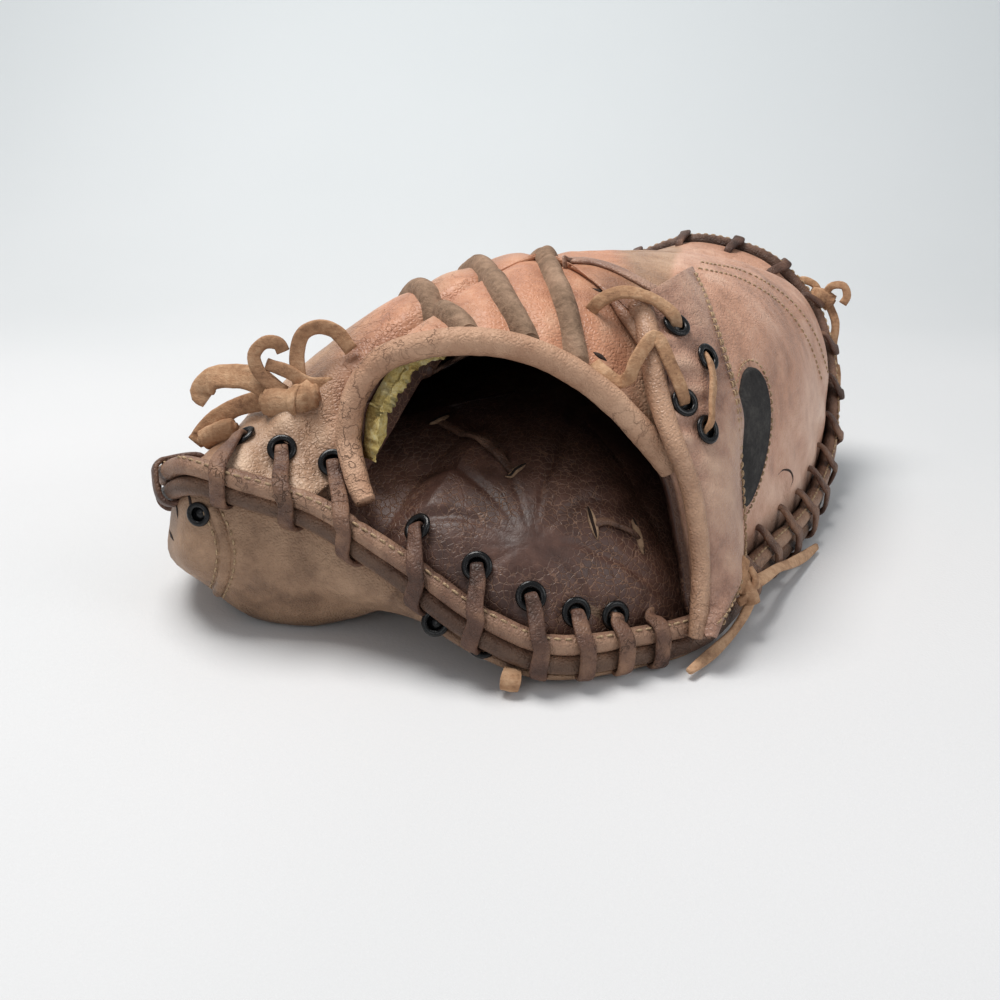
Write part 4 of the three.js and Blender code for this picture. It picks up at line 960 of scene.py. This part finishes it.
def whip(place, normal, grip, slant, rim, width=LACE_WIDTH, seed=0.0):
    first = Station(SEAM, np.array(grip))
    roll_line = first.beside(0.0, ROLL_RISE)
    leave = roll_line + first.lift * WRAP - place
    leave = leave - normal * leave.dot(normal)
    reach = max(1.5, min(5.0, np.linalg.norm(leave) - 6.5))
    leave = unit(leave)
    start = place + (leave * reach + normal * 2.6 if rim else normal * 1.4) - roll_line
    across, up = -start.dot(first.out), start.dot(first.lift)
    steep = math.pi - math.atan2(up, across) - math.acos(min(1.0, WRAP / math.hypot(across, up)))
    turns = [(1, a) for a in np.linspace(steep, 0, max(2, math.ceil(steep / 0.6) + 1))]
    turns += [(-1, math.radians(a)) for a in (-25, -75, -122)]
    places = [place - normal * 4.0, place + normal * (1.8 if rim else 1.4)]
    outs = [-leave - normal * 0.7, -leave + normal]
    wide = [0.72, 0.78]
    if rim:
        places.append(place + leave * reach + normal * 2.6)
        outs.append(normal)
        wide.append(0.9)
    for k, (side, angle) in enumerate(turns):
        row = Station(SEAM, np.array(grip + slant * k / len(turns)))
        out = row.out * math.cos(angle) + row.lift * math.sin(angle)
        places.append(row.beside(0.0, side * ROLL_RISE) + out * WRAP)
        outs.append(out)
        wide.append(1.0)
    end = Station(SEAM, np.array(grip + slant))
    places.append(end.beside(SUNK_IN, SUNK_BY))
    outs.append(-end.lift - end.out)
    wide.append(0.74)
    table = np.column_stack([np.array(places), unit(np.array(outs)), wide])
    smooth = curved(table, 12 + 5 * len(table))
    shape = smooth[:, 6] * (1 + 0.06 * wrinkle(smooth[:, :3], 7.0, seed))
    return swept(smooth[:, :3], unit(smooth[:, 3:6]), strip_section(width, LACE_THICK + 0.2, 14),
                 np.stack([shape, np.ones_like(shape)], -1), tilt=0.12 * wrinkle(smooth[:, :3], 12.0,
                     seed + 2))


def laid(name, parts, node, slot="lacing", finish=None):
    points, faces, uvs = several(parts)
    points[:, 2] = np.maximum(points[:, 2], 0.15)
    piece = skin(name, points, faces, uvs)
    mark_points(piece, "grime", np.clip(wrinkle(points, 16.0, 1.0) * 0.4, 0, 0.4))
    mark_points(piece, "worn", np.clip(wrinkle(points, 6.0, 2.0), 0, 1))
    place_on(piece, slot, finish or lace_leather, *([node] if node else []))
    return piece


heel_whips = [whip(seats[i][0], seats[i][1], hole[3], hole[4], True, seed=i) for i,
              hole in enumerate(HEEL_HOLES)]
laid("heel_lacing", heel_whips, "heel_lace")
rim_whips = []
for i, u in enumerate(rim_turns):
    across_v = np.linspace(0, 0.6, 121)
    run_in = np.linalg.norm(on_back(np.full(121, u), across_v) - on_back(np.array(u), np.array(0.0)),
                            axis=-1)
    v = across_v[np.argmax(run_in >= 9.0)]
    place, normal = on_back(np.array(u), np.array(v)), normal_of(on_back, np.array(u), np.array(v))
    rim_whips.append(whip(place, normal, u, 0.12, False, 5.0, seed=20 + i))
laid("rim_lacing", rim_whips, "rim_lace")

# Three welts run over the back along the finger seams: round cords sheathed in suede, sewn into the seams
# and rubbed pale on top. They start at the binding and go over the crest to the toe.
welt_suede = suede_finish("welt_suede", "B0917A", "89705C", "584538", fuzz=1.3)


def seen_at(x, y, tree, lift=0.0):
    """The point on a surface that is seen at this place of the photograph's frame, and the surface's normal there."""
    ray = Vector(((x - 500) / 1055.6, (500 - y) / 1055.6, -1.0))
    ray.rotate(camera.rotation_euler)
    found, normal, _, _ = tree.ray_cast(camera.location, ray)
    if found is None:
        return None
    if normal.dot(ray) > 0:
        normal = -normal
    return np.array(found) * 1000 + MIDDLE + np.array(normal) * lift, np.array(normal)


def from_above(x, y):
    spot = row_frame([x, y, 300.0])
    found, normal, _, _ = back_tree.ray_cast(Vector(spot), Vector((0, 0, -1)))
    if found is None:
        return None
    return np.array(found) * 1000 + MIDDLE, np.array(normal) * (1 if normal.z > 0 else -1)


WELT_SECTION = np.array([[-4.9, -1.6], [-4.6, -0.2], [-3.6, 1.4], [-2.5, 2.9], [-1.2, 3.8], [0, 4.1],
                         [1.2, 3.8], [2.5, 2.9],
                         [3.6, 1.4], [4.6, -0.2], [4.9, -1.6], [2.5, -2.2], [0, -2.4], [-2.5, -2.2]])[::-1]
for number, line in enumerate(WELT_LINES):
    start = np.array(line[0]) * 1.38 - np.array(line[1]) * 0.38
    plan = curved(np.array([start, *line], float), 200)
    spots = [spot for spot in (from_above(x, y) for x, y in plan[:, :2]) if spot]
    points = np.array([p for p, _ in spots])
    outs = np.array([n for _, n in spots])
    kernel = np.ones(9) / 9
    points = np.stack([np.convolve(np.pad(points[:, k], 4, mode="edge"), kernel,
                                   "valid") for k in range(3)], -1)
    outs = unit(np.stack([np.convolve(np.pad(outs[:, k], 4, mode="edge"), kernel,
                                      "valid") for k in range(3)], -1))
    size = 1 + 0.05 * wrinkle(points, 8.0, number) + 0.04 * wrinkle(points, 3.5, number + 3)
    size[:10] *= np.linspace(0.75, 1, 10)
    made, faces, uvs = swept(points, outs, WELT_SECTION, size)
    welt = skin(f"finger_welt_cord_{number + 1}", made, faces, uvs)
    finish_with(welt, "SUBSURF", levels=1, render_levels=1)
    height = np.zeros(len(welt.data.vertices))
    mark_points(welt, "grime", height)
    place_on(welt, "lacing", welt_suede, f"finger_welt_{number + 1}")

# The wrist strap is a broad leaf of darker leather over the thumb side. Its front edge is rolled over a
# cord and polished, its rear edge is cut and sewn, and it narrows to a tip at the heel.
strap_leather = leather_finish("strap_leather", "CBA78F", "AB8470", "704D3F", rough=0.48, crack=0.7,
                               fold=1.2, shine=0.4)
edge_leather = leather_finish("strap_edge_leather", "BF987C", "9C775F", "654838", rough=0.45, crack=0.8,
                              fold=0.6, shine=0.42)
STRAP_ROWS = np.array([
    [47, 53, 112.5, 71.6, 100, 115.7],
    [49, 46, 105.5, 75, 82, 106.5],
    [50.1, 36.4, 97.4, 79.4, 62, 91.1],
    [52.5, 27.7, 84, 83.8, 52, 73.7],
    [56.9, 19.7, 71.5, 84.1, 47, 59.6],
    [62.6, 15.4, 57.2, 86, 43.5, 38],
    [66.2, 10, 34.6, 85.6, 37.3, 28],
    [65.9, 4, 21, 82, 24.5, 22.6],
    [65.2, 0.5, 15, 73, 8, 17.5],
    [64.8, -1, 10.8, 67.2, 0.5, 10.6],
])
STRAP_BULGE, ROLLED_EDGE = 4.5, 4.0
strap_stations = np.linspace(0, 1, 241)
strap_front = curved(STRAP_ROWS[:, :3], 241)
strap_rear = curved(STRAP_ROWS[:, 3:], 241)
strap_down = unit(np.gradient(strap_front, axis=0))


def on_strap(s, t):
    s, t = np.broadcast_arrays(np.clip(s, 0, 1), t)
    pick = [np.stack([np.interp(s, strap_stations, line[:, k]) for k in range(3)], -1)
            for line in (strap_front, strap_rear, strap_down)]
    front, rear, down = pick
    out = unit(np.cross(down, rear - front))
    return front + (rear - front) * t[..., None] + out * (STRAP_BULGE * 4 * t * (1 - t))[..., None]


def strap_normal(s, t):
    s, t = np.asarray(s, float), np.asarray(t, float)
    ds = on_strap(s + 0.02, t) - on_strap(s - 0.02, t)
    return unit(np.cross(ds, on_strap(s, t + 0.02) - on_strap(s, t - 0.02)))


STRAP_HOLES = [(0.165, 0.27), (0.345, 0.18), (0.245, 0.54), (0.415, 0.33)]
strap_seats = [(on_strap(np.array(s), np.array(t)) + strap_normal(s, t) * 1.5, strap_normal(s, t)) for s,
               t in STRAP_HOLES]
leaf_s, leaf_t = np.meshgrid(np.linspace(0.008, 0.975, 300), np.linspace(0, 1, 90), indexing="ij")
edge_size = 1 - 0.3 * leaf_s
leaf_width = np.linalg.norm(on_strap(leaf_s, 0 * leaf_s) - on_strap(leaf_s, 0 * leaf_s + 1), axis=-1)
begin = 1.6 * edge_size / leaf_width
leaf_t = begin + (1 - begin) * leaf_t
leaf = on_strap(leaf_s, leaf_t)
leaf_out = strap_normal(leaf_s, leaf_t)
leaf_height = 1.5 + wrinkle(leaf, 24.0, 6.0) * 0.7 + wrinkle(leaf, 8.0, 2.2) * 0.28 + wrinkle(leaf, 3.5,
    2.2) * 0.08
fold_mask = np.exp(-(((leaf_s - 0.3) / 0.16) ** 2)) * np.clip(1 - leaf_t * 1.4, 0, 1)
leaf_height += fold_mask * 0.9 * np.sin(leaf_s * 105)
leaf_height -= dimple(leaf + leaf_out * 1.5, [p for p, _ in strap_seats], 2.0, 2.8)
leaf = leaf + leaf_out * leaf_height[..., None]
strap = skin("wrist_strap_leaf", leaf.reshape(-1, 3), [tuple(f) for f in grid_faces(300, 90)])
strap_tree = BVHTree.FromPolygons([tuple(p) for p in row_frame(leaf.reshape(-1, 3))],
                                  [tuple(int(i) for i in f) for f in grid_faces(300, 90)])
# Painted shade on the band of the leaf beside the rolled edge; the leaf is also darker towards its tip at the heel.
mark_points(strap, "grime",
            np.clip(0.35 - leaf_t.ravel() * 3, 0, 0.35) + np.clip((leaf_s.ravel() - 0.75) * 1.2, 0, 0.3))
mark_points(strap, "worn", np.clip(leaf_height.ravel() - 1.4, 0, 1))
finish_with(strap, "SOLIDIFY", thickness=0.0028, offset=-1.0)
finish_with(strap, "BEVEL", width=0.0007, segments=2, limit_method="ANGLE", angle_limit=0.9)
finish_with(strap, "WELD", merge_threshold=0.00001)
place_on(strap, "strap_leather", strap_leather, "wrist_strap")

edge_line = strap_front[2:-2]
edge_out = strap_normal(strap_stations[2:-2], np.full(237, 0.1))
edge_line, edge_out = curved(edge_line[::4], 420), unit(curved(edge_out[::4], 420))
share = np.linspace(0, 1, 420)
size = (1 - 0.3 * share) * (1.03 + 0.05 * wrinkle(edge_line, 10.0, 1.0) + 0.025 * wrinkle(edge_line, 3.6,
    2.0))
size *= np.clip(np.minimum(share, 1 - share) / 0.012, 0.35, 1) ** 0.5
points, faces, uvs = swept(edge_line, edge_out, round_section(ROLLED_EDGE, 24), size)
strap_edge = skin("wrist_strap_rolled_edge", points, faces, uvs)
around = np.tile(np.arange(24) * 2 * math.pi / 24, 420)
# The rolled edge is darker towards its tip at the heel.
mark_points(strap_edge, "grime", np.repeat(np.clip((share - 0.72) * 1.2, 0, 0.3), 24))
mark_points(strap_edge, "worn", np.clip(np.sin(around), 0, 1) * 0.7)
place_on(strap_edge, "strap_leather", edge_leather, "strap_roll")
for i, (place, normal) in enumerate(strap_seats):
    set_eyelet(f"strap_eyelet_ring_{i + 1}", place, normal, f"strap_eyelet_{i + 1}")

# Short suede laces hold the strap: two come out of slits in the back, go over the rolled edge and down into
# its eyelets, and one joins its two rear eyelets.
lace_suede = suede_finish("lace_suede", "D5B18F", "AC8464", "684A39", fuzz=1.2)
TO_VIEWER = (0, -0.95, 0.3)


def over_strap(s, t, height):
    return list(on_strap(np.array(s), np.array(t)) + strap_normal(s, t) * height)


def lace_strip(points, width, thick, look=TO_VIEWER, seed=0.0, roll=0.25, taper=0.0, count=None):
    points = np.array(points, float)
    run = np.linalg.norm(np.diff(points, axis=0), axis=1).sum()
    line = curved(points, count or max(16, int(run / 1.1)))
    share = np.linspace(0, 1, len(line))
    wide = (1 + 0.09 * wrinkle(line, 6.0, seed) + 0.05 * wrinkle(line, 2.6,
                                                                 seed + 1)) * (1 - taper * share**3)
    thin = 1 + 0.12 * wrinkle(line, 4.0, seed + 4)
    return swept(line, look, strip_section(width, thick), np.stack([wide, thin], -1),
                 tilt=roll * wrinkle(line, 15.0, seed + 3))


def round_lace(points, radius, seed=0.0):
    line = curved(np.array(points, float), 34)
    size = 1 + 0.1 * wrinkle(line, 5.0, seed) + 0.05 * wrinkle(line, 2.2, seed + 1)
    size *= np.clip(np.minimum(np.arange(34), 33 - np.arange(34)) / 3, 0.55, 1)
    return swept(line, TO_VIEWER, round_section(radius, 16, 0.9), size)


STRAP_LACES = [
    lace_strip([[30.5, 50.2, 108.6], [34, 47.8, 113], [40.8, 46.5, 116], over_strap(0.04, 0, 6),
                over_strap(0.1, 0.12, 5),
                over_strap(0.15, 0.23, 3.8), over_strap(0.165, 0.27, 1.2), over_strap(0.165, 0.27, -1)],
               4.8, 1.9, (0.25, -0.65, 0.7), 1),
    lace_strip([[31, 33.5, 95], [34.5, 30.5, 92.6], [38.8, 29, 90], [42, 27.5, 92], [44, 29, 96.6],
                over_strap(0.2, 0, 6),
                over_strap(0.26, 0.08, 5), over_strap(0.325, 0.15, 3.8), over_strap(0.345, 0.18, 1.2),
                over_strap(0.345, 0.18, -1)], 4.8, 1.9, (0.35, -0.8, 0.5), 2),
    lace_strip([over_strap(0.245, 0.54, -1), over_strap(0.245, 0.54, 1.6), over_strap(0.29, 0.48, 3.9),
                over_strap(0.35, 0.4, 4), over_strap(0.4, 0.35, 3.4), over_strap(0.415, 0.33, 1.2),
                over_strap(0.415, 0.33, -1)], 4.2, 1.7, (0.85, -0.5, 0.3), 3),
]
for i, part in enumerate(STRAP_LACES):
    laid(f"strap_lace_strip_{i + 1}", [part], f"strap_lace_{i + 1}", finish=lace_suede)

# Two short laces cross the palm lining through slits whose cut edges have curled up and worn pale. Beside each pale
# lip a thin near-black strip is painted shade down in the slit.
liner_tree = BVHTree.FromObject(liner, bpy.context.evaluated_depsgraph_get())


def on_lining(x, y, height):
    found, normal, _, _ = liner_tree.ray_cast(Vector(row_frame([x, y, 300.0])), Vector((0, 0, -1)))
    return np.array(found) * 1000 + MIDDLE + np.array([0, 0, height])


palm_lace_leather = leather_finish("palm_lace_leather", "7A5D4C", "50392E", "2A1D17", rough=0.5, crack=1.2,
                                   fold=0.5, shine=0.3)
cut_pale = suede_finish("cut_edge_pale", "AD9077", "846A54", "4A382D", fuzz=1.2)
# Near-black painted shade for the open slits beside the lips.
slit_gap_shade = suede_finish("slit_gap_painted_shade", "2C1E18", "1B120E", "0E0907")
lips, gaps = [], []
for i, line in enumerate([[[-21.8, 60.1], [-8, 45], [5.1, 30.1]],
                          [[31, 15.4], [38.6, 17.6], [46.5, 20.5]]]):
    flat_line = curved(np.array(line, float), 14)
    lying = [on_lining(x, y, 1.1 - 1.6 * abs(k / 6.5 - 1) ** 4) for k, (x, y) in enumerate(flat_line)]
    laid(f"palm_lace_strip_{i + 1}", [lace_strip(lying, 3.6, 1.9, (0, 0, 1), i + 4)], f"palm_lace_{i + 1}",
         finish=palm_lace_leather)
    for end, after in ((0, 2), (-1, -3)):
        way = unit(flat_line[end] - flat_line[after])
        cross = np.array([-way[1], way[0]])
        for away, height, wide, made in ((0.2, 0.35, 1.5, lips), (0.5, 0.95, 0.75, gaps)):
            spots = [flat_line[end] + way * away + cross * t * 4.6 for t in np.linspace(-1, 1, 16)]
            cut = np.array([on_lining(x, y, height) for x, y in spots])
            bulge = np.sin(np.linspace(0, math.pi, 16)) ** 0.7 * 0.85 + 0.15
            made.append(swept(cut, np.tile([0.0, 0.0, 1.0], (16, 1)), round_section(wide, 10, 0.6), bulge))
for name, made, finish in (("slit_lips", lips, cut_pale), ("slit_gaps", gaps, slit_gap_shade)):
    points, faces, uvs = several(made)
    piece = skin(name, points, faces, uvs)
    mark_points(piece, "grime", np.zeros(len(points)))
    place_on(piece, "lining_leather", finish)

# A moulded oval patch of charcoal suede is sewn to the thumb side. Its face is
# plain.
patch_suede = suede_finish("patch_suede", "55524E", "343231", "1D1B1B")
PLATE_U, PLATE_LEAN, PLATE_HALF_U, PLATE_V, PLATE_HALF_V = 31.075, 0.185, 0.31, 0.234, 0.148


def on_patch(across, up, height):
    """A place on the patch, from -1 to 1 across and up."""
    u = np.mod(PLATE_U + PLATE_HALF_U * across + PLATE_LEAN * up, len(BACK_EDGE))
    return above(on_back, u, PLATE_V + PLATE_HALF_V * up, height)


radius, angle = np.meshgrid(np.linspace(0, 1, 22), np.linspace(0, 2 * math.pi, 110, endpoint=False),
                            indexing="ij")
patch_height = 1.5 + 1.0 * (1 - radius**2) + 0.25 * np.exp(-(((radius - 0.9) / 0.05) ** 2)) - 2.2 * np.clip((radius - 0.95) / 0.05, 0, 1)
patch_points = on_patch(radius * np.cos(angle), radius * np.sin(angle), patch_height)
patch_faces = [tuple(f) for f in grid_faces(22, 110)]
patch_faces += [(i * 110 + 109, (i + 1) * 110 + 109, (i + 1) * 110, i * 110) for i in range(21)]
patch = skin("oval_patch", patch_points.reshape(-1, 3), patch_faces)
finish_with(patch, "WELD", merge_threshold=0.00002)
finish_with(patch, "SOLIDIFY", thickness=0.0012, offset=-1.0)
mark_points(patch, "grime", np.zeros(len(patch.data.vertices)))
place_on(patch, "badge", patch_suede, "badge_plate")

# Knots of dry, curled lace ends stand at the left end of the heel lace and at the toe's corner, and smaller
# ones at the strap's foot and under the heel. Each is one or two round turns with flat ends that leave it.
LEFT_KNOT = [
    round_lace([[-82.9, 48, 78.2], [-72.6, 45, 78], [-62.3, 44, 82.5]], 5.2, 1),
    lace_strip([[-70, 45, 84], [-72, 41, 79], [-71, 43, 73.5]], 6, 2.2, (-0.8, -0.6, 0.1), 2),
    lace_strip([[-78, 49, 79.5], [-84.6, 51, 84.5], [-92.9, 53, 85.4], [-101.3, 54.5, 84],
                [-105.2, 55, 79.4], [-103, 55.5, 77.2]],
               9.4, 2.4, (0, -0.8, 0.6), 3, 0.35),
    lace_strip([[-58, 48, 84], [-66, 47, 84.5], [-72.9, 47, 88.6], [-80.5, 50, 90.4]], 4.6, 2.1, seed=4),
    lace_strip([[-74.3, 46.5, 81.5], [-82.2, 48, 86.8], [-84.8, 50, 93.6], [-80.9, 51, 97.8],
                [-76.2, 51, 97.4], [-74.8, 51, 94.6]],
               4.6, 2.1, seed=5),
    lace_strip([[-69, 47, 83], [-70.1, 51, 94], [-67.8, 53, 100.5], [-62.7, 54, 102.6], [-56.9, 54, 101],
                [-51.5, 53, 94.5]],
               5.2, 2.2, (0.3, -0.95, 0), 6),
    lace_strip([[-80.5, 50, 78], [-95.6, 60, 71.7], [-105.4, 62, 65.2], [-111.6, 60, 58.5]], 7.2, 2.1,
               seed=7, taper=0.2),
    round_lace([[-94.8, 58, 64.7], [-101.5, 58, 63.1], [-109.1, 58, 59.3]], 4.0, 8),
]
laid("left_knot_ends", LEFT_KNOT, "left_knot", finish=lace_suede)
RIM_KNOT = [
    round_lace([[150, 203, 84], [156, 204, 83], [161, 203, 80]], 4.4, 1),
    lace_strip([[156, 203, 83], [159, 202, 89], [164, 199, 89.6], [165.4, 197, 85], [163.6, 196.5, 81.6]],
               3.8, 1.9, seed=2),
    lace_strip([[155, 205, 84], [152, 206, 89], [146, 207, 91], [142, 207, 89]], 3.6, 1.9, seed=3),
    lace_strip([[158, 203, 82], [162, 199, 72], [161, 195, 60], [162, 188, 46], [162, 181, 33]], 4, 1.9,
               seed=4, taper=0.25),
    round_lace([[161.6, 192, 54], [161.8, 189, 48], [162, 186.6, 43]], 2.6, 5),
]
laid("rim_knot_ends", RIM_KNOT, "rim_knot", finish=lace_suede)
TIE_KNOT = [
    round_lace([[79.5, 18.5, 19.5], [83, 22.4, 21.4], [86.5, 27, 18.5]], 3.7, 3),
    lace_strip([[80.6, 16.6, 19.5], [83, 20.5, 24.4], [85, 26, 27.4]], 4.2, 2.2, (0.6, -0.6, 0.5), 4),
    round_lace([[83, 21.5, 21], [86.4, 19.8, 16.5], [87.4, 19.4, 13.4]], 3, 5),
    lace_strip([[82, 17.6, 14.6], [86.4, 19.2, 17.4], [88.4, 22.4, 21.4], [86.6, 25, 24.6]], 3.6, 1.9,
               (0.8, -0.6, 0.2), 6),
]
laid("tie_knot_turns", TIE_KNOT, "tie_knot", finish=lace_suede)
laid("heel_knot_end", [round_lace([[0.6, -15.4, 5.2], [3.6, -16.4, 5], [6.4, -16.2, 4.4]], 3.8, 2)],
     "heel_knot", finish=lace_suede)

# Waxed tan thread closes the seams: along the upper rolled edge, in two rows down the strap's rear edge and
# over the thumb seam, round the patch, and round the pod. Each stitch is a short, fat, slightly sunken
# capsule.
thread = Finish("waxed_thread")
strand = thread.noise(1400.0, 3.0, 0.7)
thread.wire("Base Color", thread.ramp(strand, (0.35, linear("7E6248")), (0.65, linear("C4A884"))))
thread.wire("Roughness", strand * 0.2 + 0.55)
thread.relief(strand, 0.0003)
capsule_turn = np.arange(6) * 2 * math.pi / 6


def stitches(points, normals, pitch=3.6, length=2.7, radius=0.42):
    """Capsules end to end along a line, each with its rings of six points."""
    points, normals = np.asarray(points, float), np.asarray(normals, float)
    run = np.concatenate([[0], np.cumsum(np.linalg.norm(np.diff(points, axis=0), axis=1))])
    parts = []
    for start in np.arange(0.3, run[-1] - length, pitch):
        ends = [np.array([np.interp(start + d, run, points[:, k]) for k in range(3)]) for d in (0,
            length / 2, length)]
        normal = unit(np.array([np.interp(start + length / 2, run, normals[:, k]) for k in range(3)]))
        line = np.array([ends[0] - normal * 0.45, ends[0] * 0.8 + ends[2] * 0.2 + normal * 0.12,
                         ends[1] + normal * 0.22,
                         ends[0] * 0.2 + ends[2] * 0.8 + normal * 0.12, ends[2] - normal * 0.45])
        parts.append(swept(line, normal, round_section(radius, 6), [0.5, 0.95, 1.1, 0.95, 0.5]))
    return parts


def in_view(line, tree, count=60):
    """Points and normals on a surface along a line of the photograph's frame."""
    found = [seen_at(x, y, tree) for x, y in curved(np.array([[*p, 0] for p in line], float), count)[:, :2]]
    found = [f for f in found if f is not None]
    return np.array([p for p, _ in found]), np.array([n for _, n in found])


sewn = []
roll_at = Station(SEAM, np.linspace(15.9, 24.3, 400))
stitch_out = unit(roll_at.out * 0.45 + roll_at.lift * 0.9)
sewn += stitches(roll_at.beside(np.zeros(400), np.full(400, ROLL_RISE)) + stitch_out * 3.35, stitch_out)
roll_at = Station(SEAM, np.linspace(0.6, 15.6, 900))
stitch_out = unit(roll_at.out * 0.35 + roll_at.lift * 0.93)
sewn += stitches(roll_at.beside(np.zeros(900), np.full(900, ROLL_RISE)) + stitch_out * 3.35, stitch_out)
for inset in (3.0, 5.6):
    s = np.linspace(0.03, 0.93, 160)
    t = 1 - inset / np.maximum(8.0, np.linalg.norm(on_strap(s, 0 * s) - on_strap(s, 0 * s + 1), axis=-1))
    sewn += stitches(on_strap(s, t) + strap_normal(s, t) * 1.75, strap_normal(s, t), 3.2, 2.4, 0.36)
turn = np.linspace(0, 2 * math.pi, 240)
ring = on_patch(1.13 * np.cos(turn), 1.09 * np.sin(turn), np.full(240, 0.75))
sewn += stitches(ring, unit(ring - on_patch(1.13 * np.cos(turn), 1.09 * np.sin(turn), np.full(240, -1.0))),
                 3.0, 2.1, 0.36)
for line in ([(700, 262), (745, 272), (790, 300), (815, 335), (830, 380)],
             [(697, 268), (741, 279), (783, 306), (808, 341), (823, 384)]):
    points, normals = in_view(line, back_tree, 90)
    sewn += stitches(points, normals, 3.2, 2.4, 0.38)
points, faces, uvs = several(sewn)
seams = skin("seam_stitching", points, faces, uvs)
place_on(seams, "lacing", thread)

# The pod's two halves meet in a narrow welt on its left side, closed with a double row of thread. One
# eyelet and two short slits show where a lace once went in, and two more eyelets sit under the rolled edges
# at the heel.
# A dark brown for the slit and crease lenses, painted shade in cuts and folds, and for the scratch's own dark mark.
slit_shade_and_scratch = Finish("dark_slit_shade_and_scratch")
torn = slit_shade_and_scratch.noise(700.0, 3.0)
slit_shade_and_scratch.wire("Base Color", slit_shade_and_scratch.ramp(torn, (0.35, linear("1E130E")), (0.7, linear("3A271D"))))
slit_shade_and_scratch.wire("Roughness", torn * 0.2 + 0.75)
slit_shade_and_scratch.relief(torn, 0.0003)
pad_tree = BVHTree.FromPolygons([tuple(p) for p in row_frame(pad_points.reshape(-1, 3))],
                                [tuple(int(i) for i in f) for f in pad_faces])
pod_line, pod_out = in_view([(212, 506), (222, 532), (226, 556), (222, 582), (211, 606)], pad_tree, 60)
pod_line[:, 0] -= 0.2
size = 1 + 0.08 * wrinkle(pod_line, 5.0, 1.0)
points, faces, uvs = swept(pod_line - pod_out * 0.9, pod_out, round_section(2.3, 16, 0.95), size)
pod_welt = skin("pod_welt", points, faces, uvs)
mark_points(pod_welt, "worn", np.zeros(len(points)))
mark_points(pod_welt, "grime", np.zeros(len(points)))
place_on(pod_welt, "pad_leather", pad_leather)
sewn = []
for shift in (-9, 9):
    line, normals = in_view([(212 + shift, 510), (222 + shift, 533), (226 + shift, 556), (222 + shift, 580),
                             (212 + shift, 602)], pad_tree, 60)
    sewn += stitches(line, normals, 3.4, 2.5, 0.4)
points, faces, uvs = several(sewn)
pod_seam = skin("pod_stitching", points, faces, uvs)
place_on(pod_seam, "lacing", thread)
for i, (x, y, size) in enumerate([(199, 514, 0.85), (436, 622, 0.95), (482, 645, 0.95)]):
    spot = seen_at(x, y, pad_tree)
    if spot is None:
        continue
    place, normal = spot
    set_eyelet(f"pad_eyelet_ring_{i + 1}", place, normal, size=size)


def slit(line, tree, wide):
    """A dark thin lens along a line on a surface: painted shade for a slit or crease, or the dark mark of a deep
    scratch; none where the line misses it.
    """
    found, normals = in_view(line, tree, 20)
    if len(found) < 6:
        return []
    share = np.linspace(0, 1, len(found))
    return [swept(found, normals, round_section(wide, 8, 0.45), np.sin(share * math.pi) * 0.9 + 0.1)]


# Each slit is a dark lens: painted shade down in the cut.
slits = []
for line in ([(174, 496), (177, 508), (178, 519)], [(186, 489), (190, 500), (191, 512)],
             [(168, 520), (170, 532), (174, 541)]):
    slits += slit(line, pad_tree, 0.75)
points, faces, uvs = several(slits)
pod_slits = skin("pod_slits", points, faces, uvs)
place_on(pod_slits, "pad_leather", slit_shade_and_scratch)

# A thin strip of the strap's leather runs on over the crest, and creases, slits and a hooked scratch mark
# the thumb.
strip_line, strip_out = in_view([(566, 262), (590, 263), (614, 270), (636, 281), (655, 292)], back_tree, 40)
points, faces, uvs = swept(strip_line + strip_out * 0.7, strip_out, strip_section(5.2, 1.6),
                           1 + 0.06 * wrinkle(strip_line, 6.0, 1.0))
crest_strip = skin("strap_crest_strip", points, faces, uvs)
mark_points(crest_strip, "worn", np.zeros(len(points)))
mark_points(crest_strip, "grime", np.full(len(points), 0.25))
place_on(crest_strip, "strap_leather", strap_leather)
# The slits and creases are dark lenses, painted shade in each cut and fold; the hooked scratch is a dark mark of its
# own.
marks = []
for line, wide in (([(777, 476), (783, 470), (790, 471), (793, 479), (790, 488)], 0.5),
                   ([(766, 528), (768, 541), (767, 552)], 0.9),
                   ([(779, 526), (781, 539), (779, 549)], 0.9), ([(792, 520), (793, 532), (791, 542)], 0.8),
                   ([(592, 288), (600, 291), (609, 293)], 0.9), ([(593, 352), (600, 356), (607, 361)],
                                                                 0.9)):
    marks += slit(line, back_tree, wide)
points, faces, uvs = several(marks)
thumb_marks = skin("thumb_marks", points, faces, uvs)
place_on(thumb_marks, "back_leather", slit_shade_and_scratch)
bpy.data.objects.remove(eyelet_form)
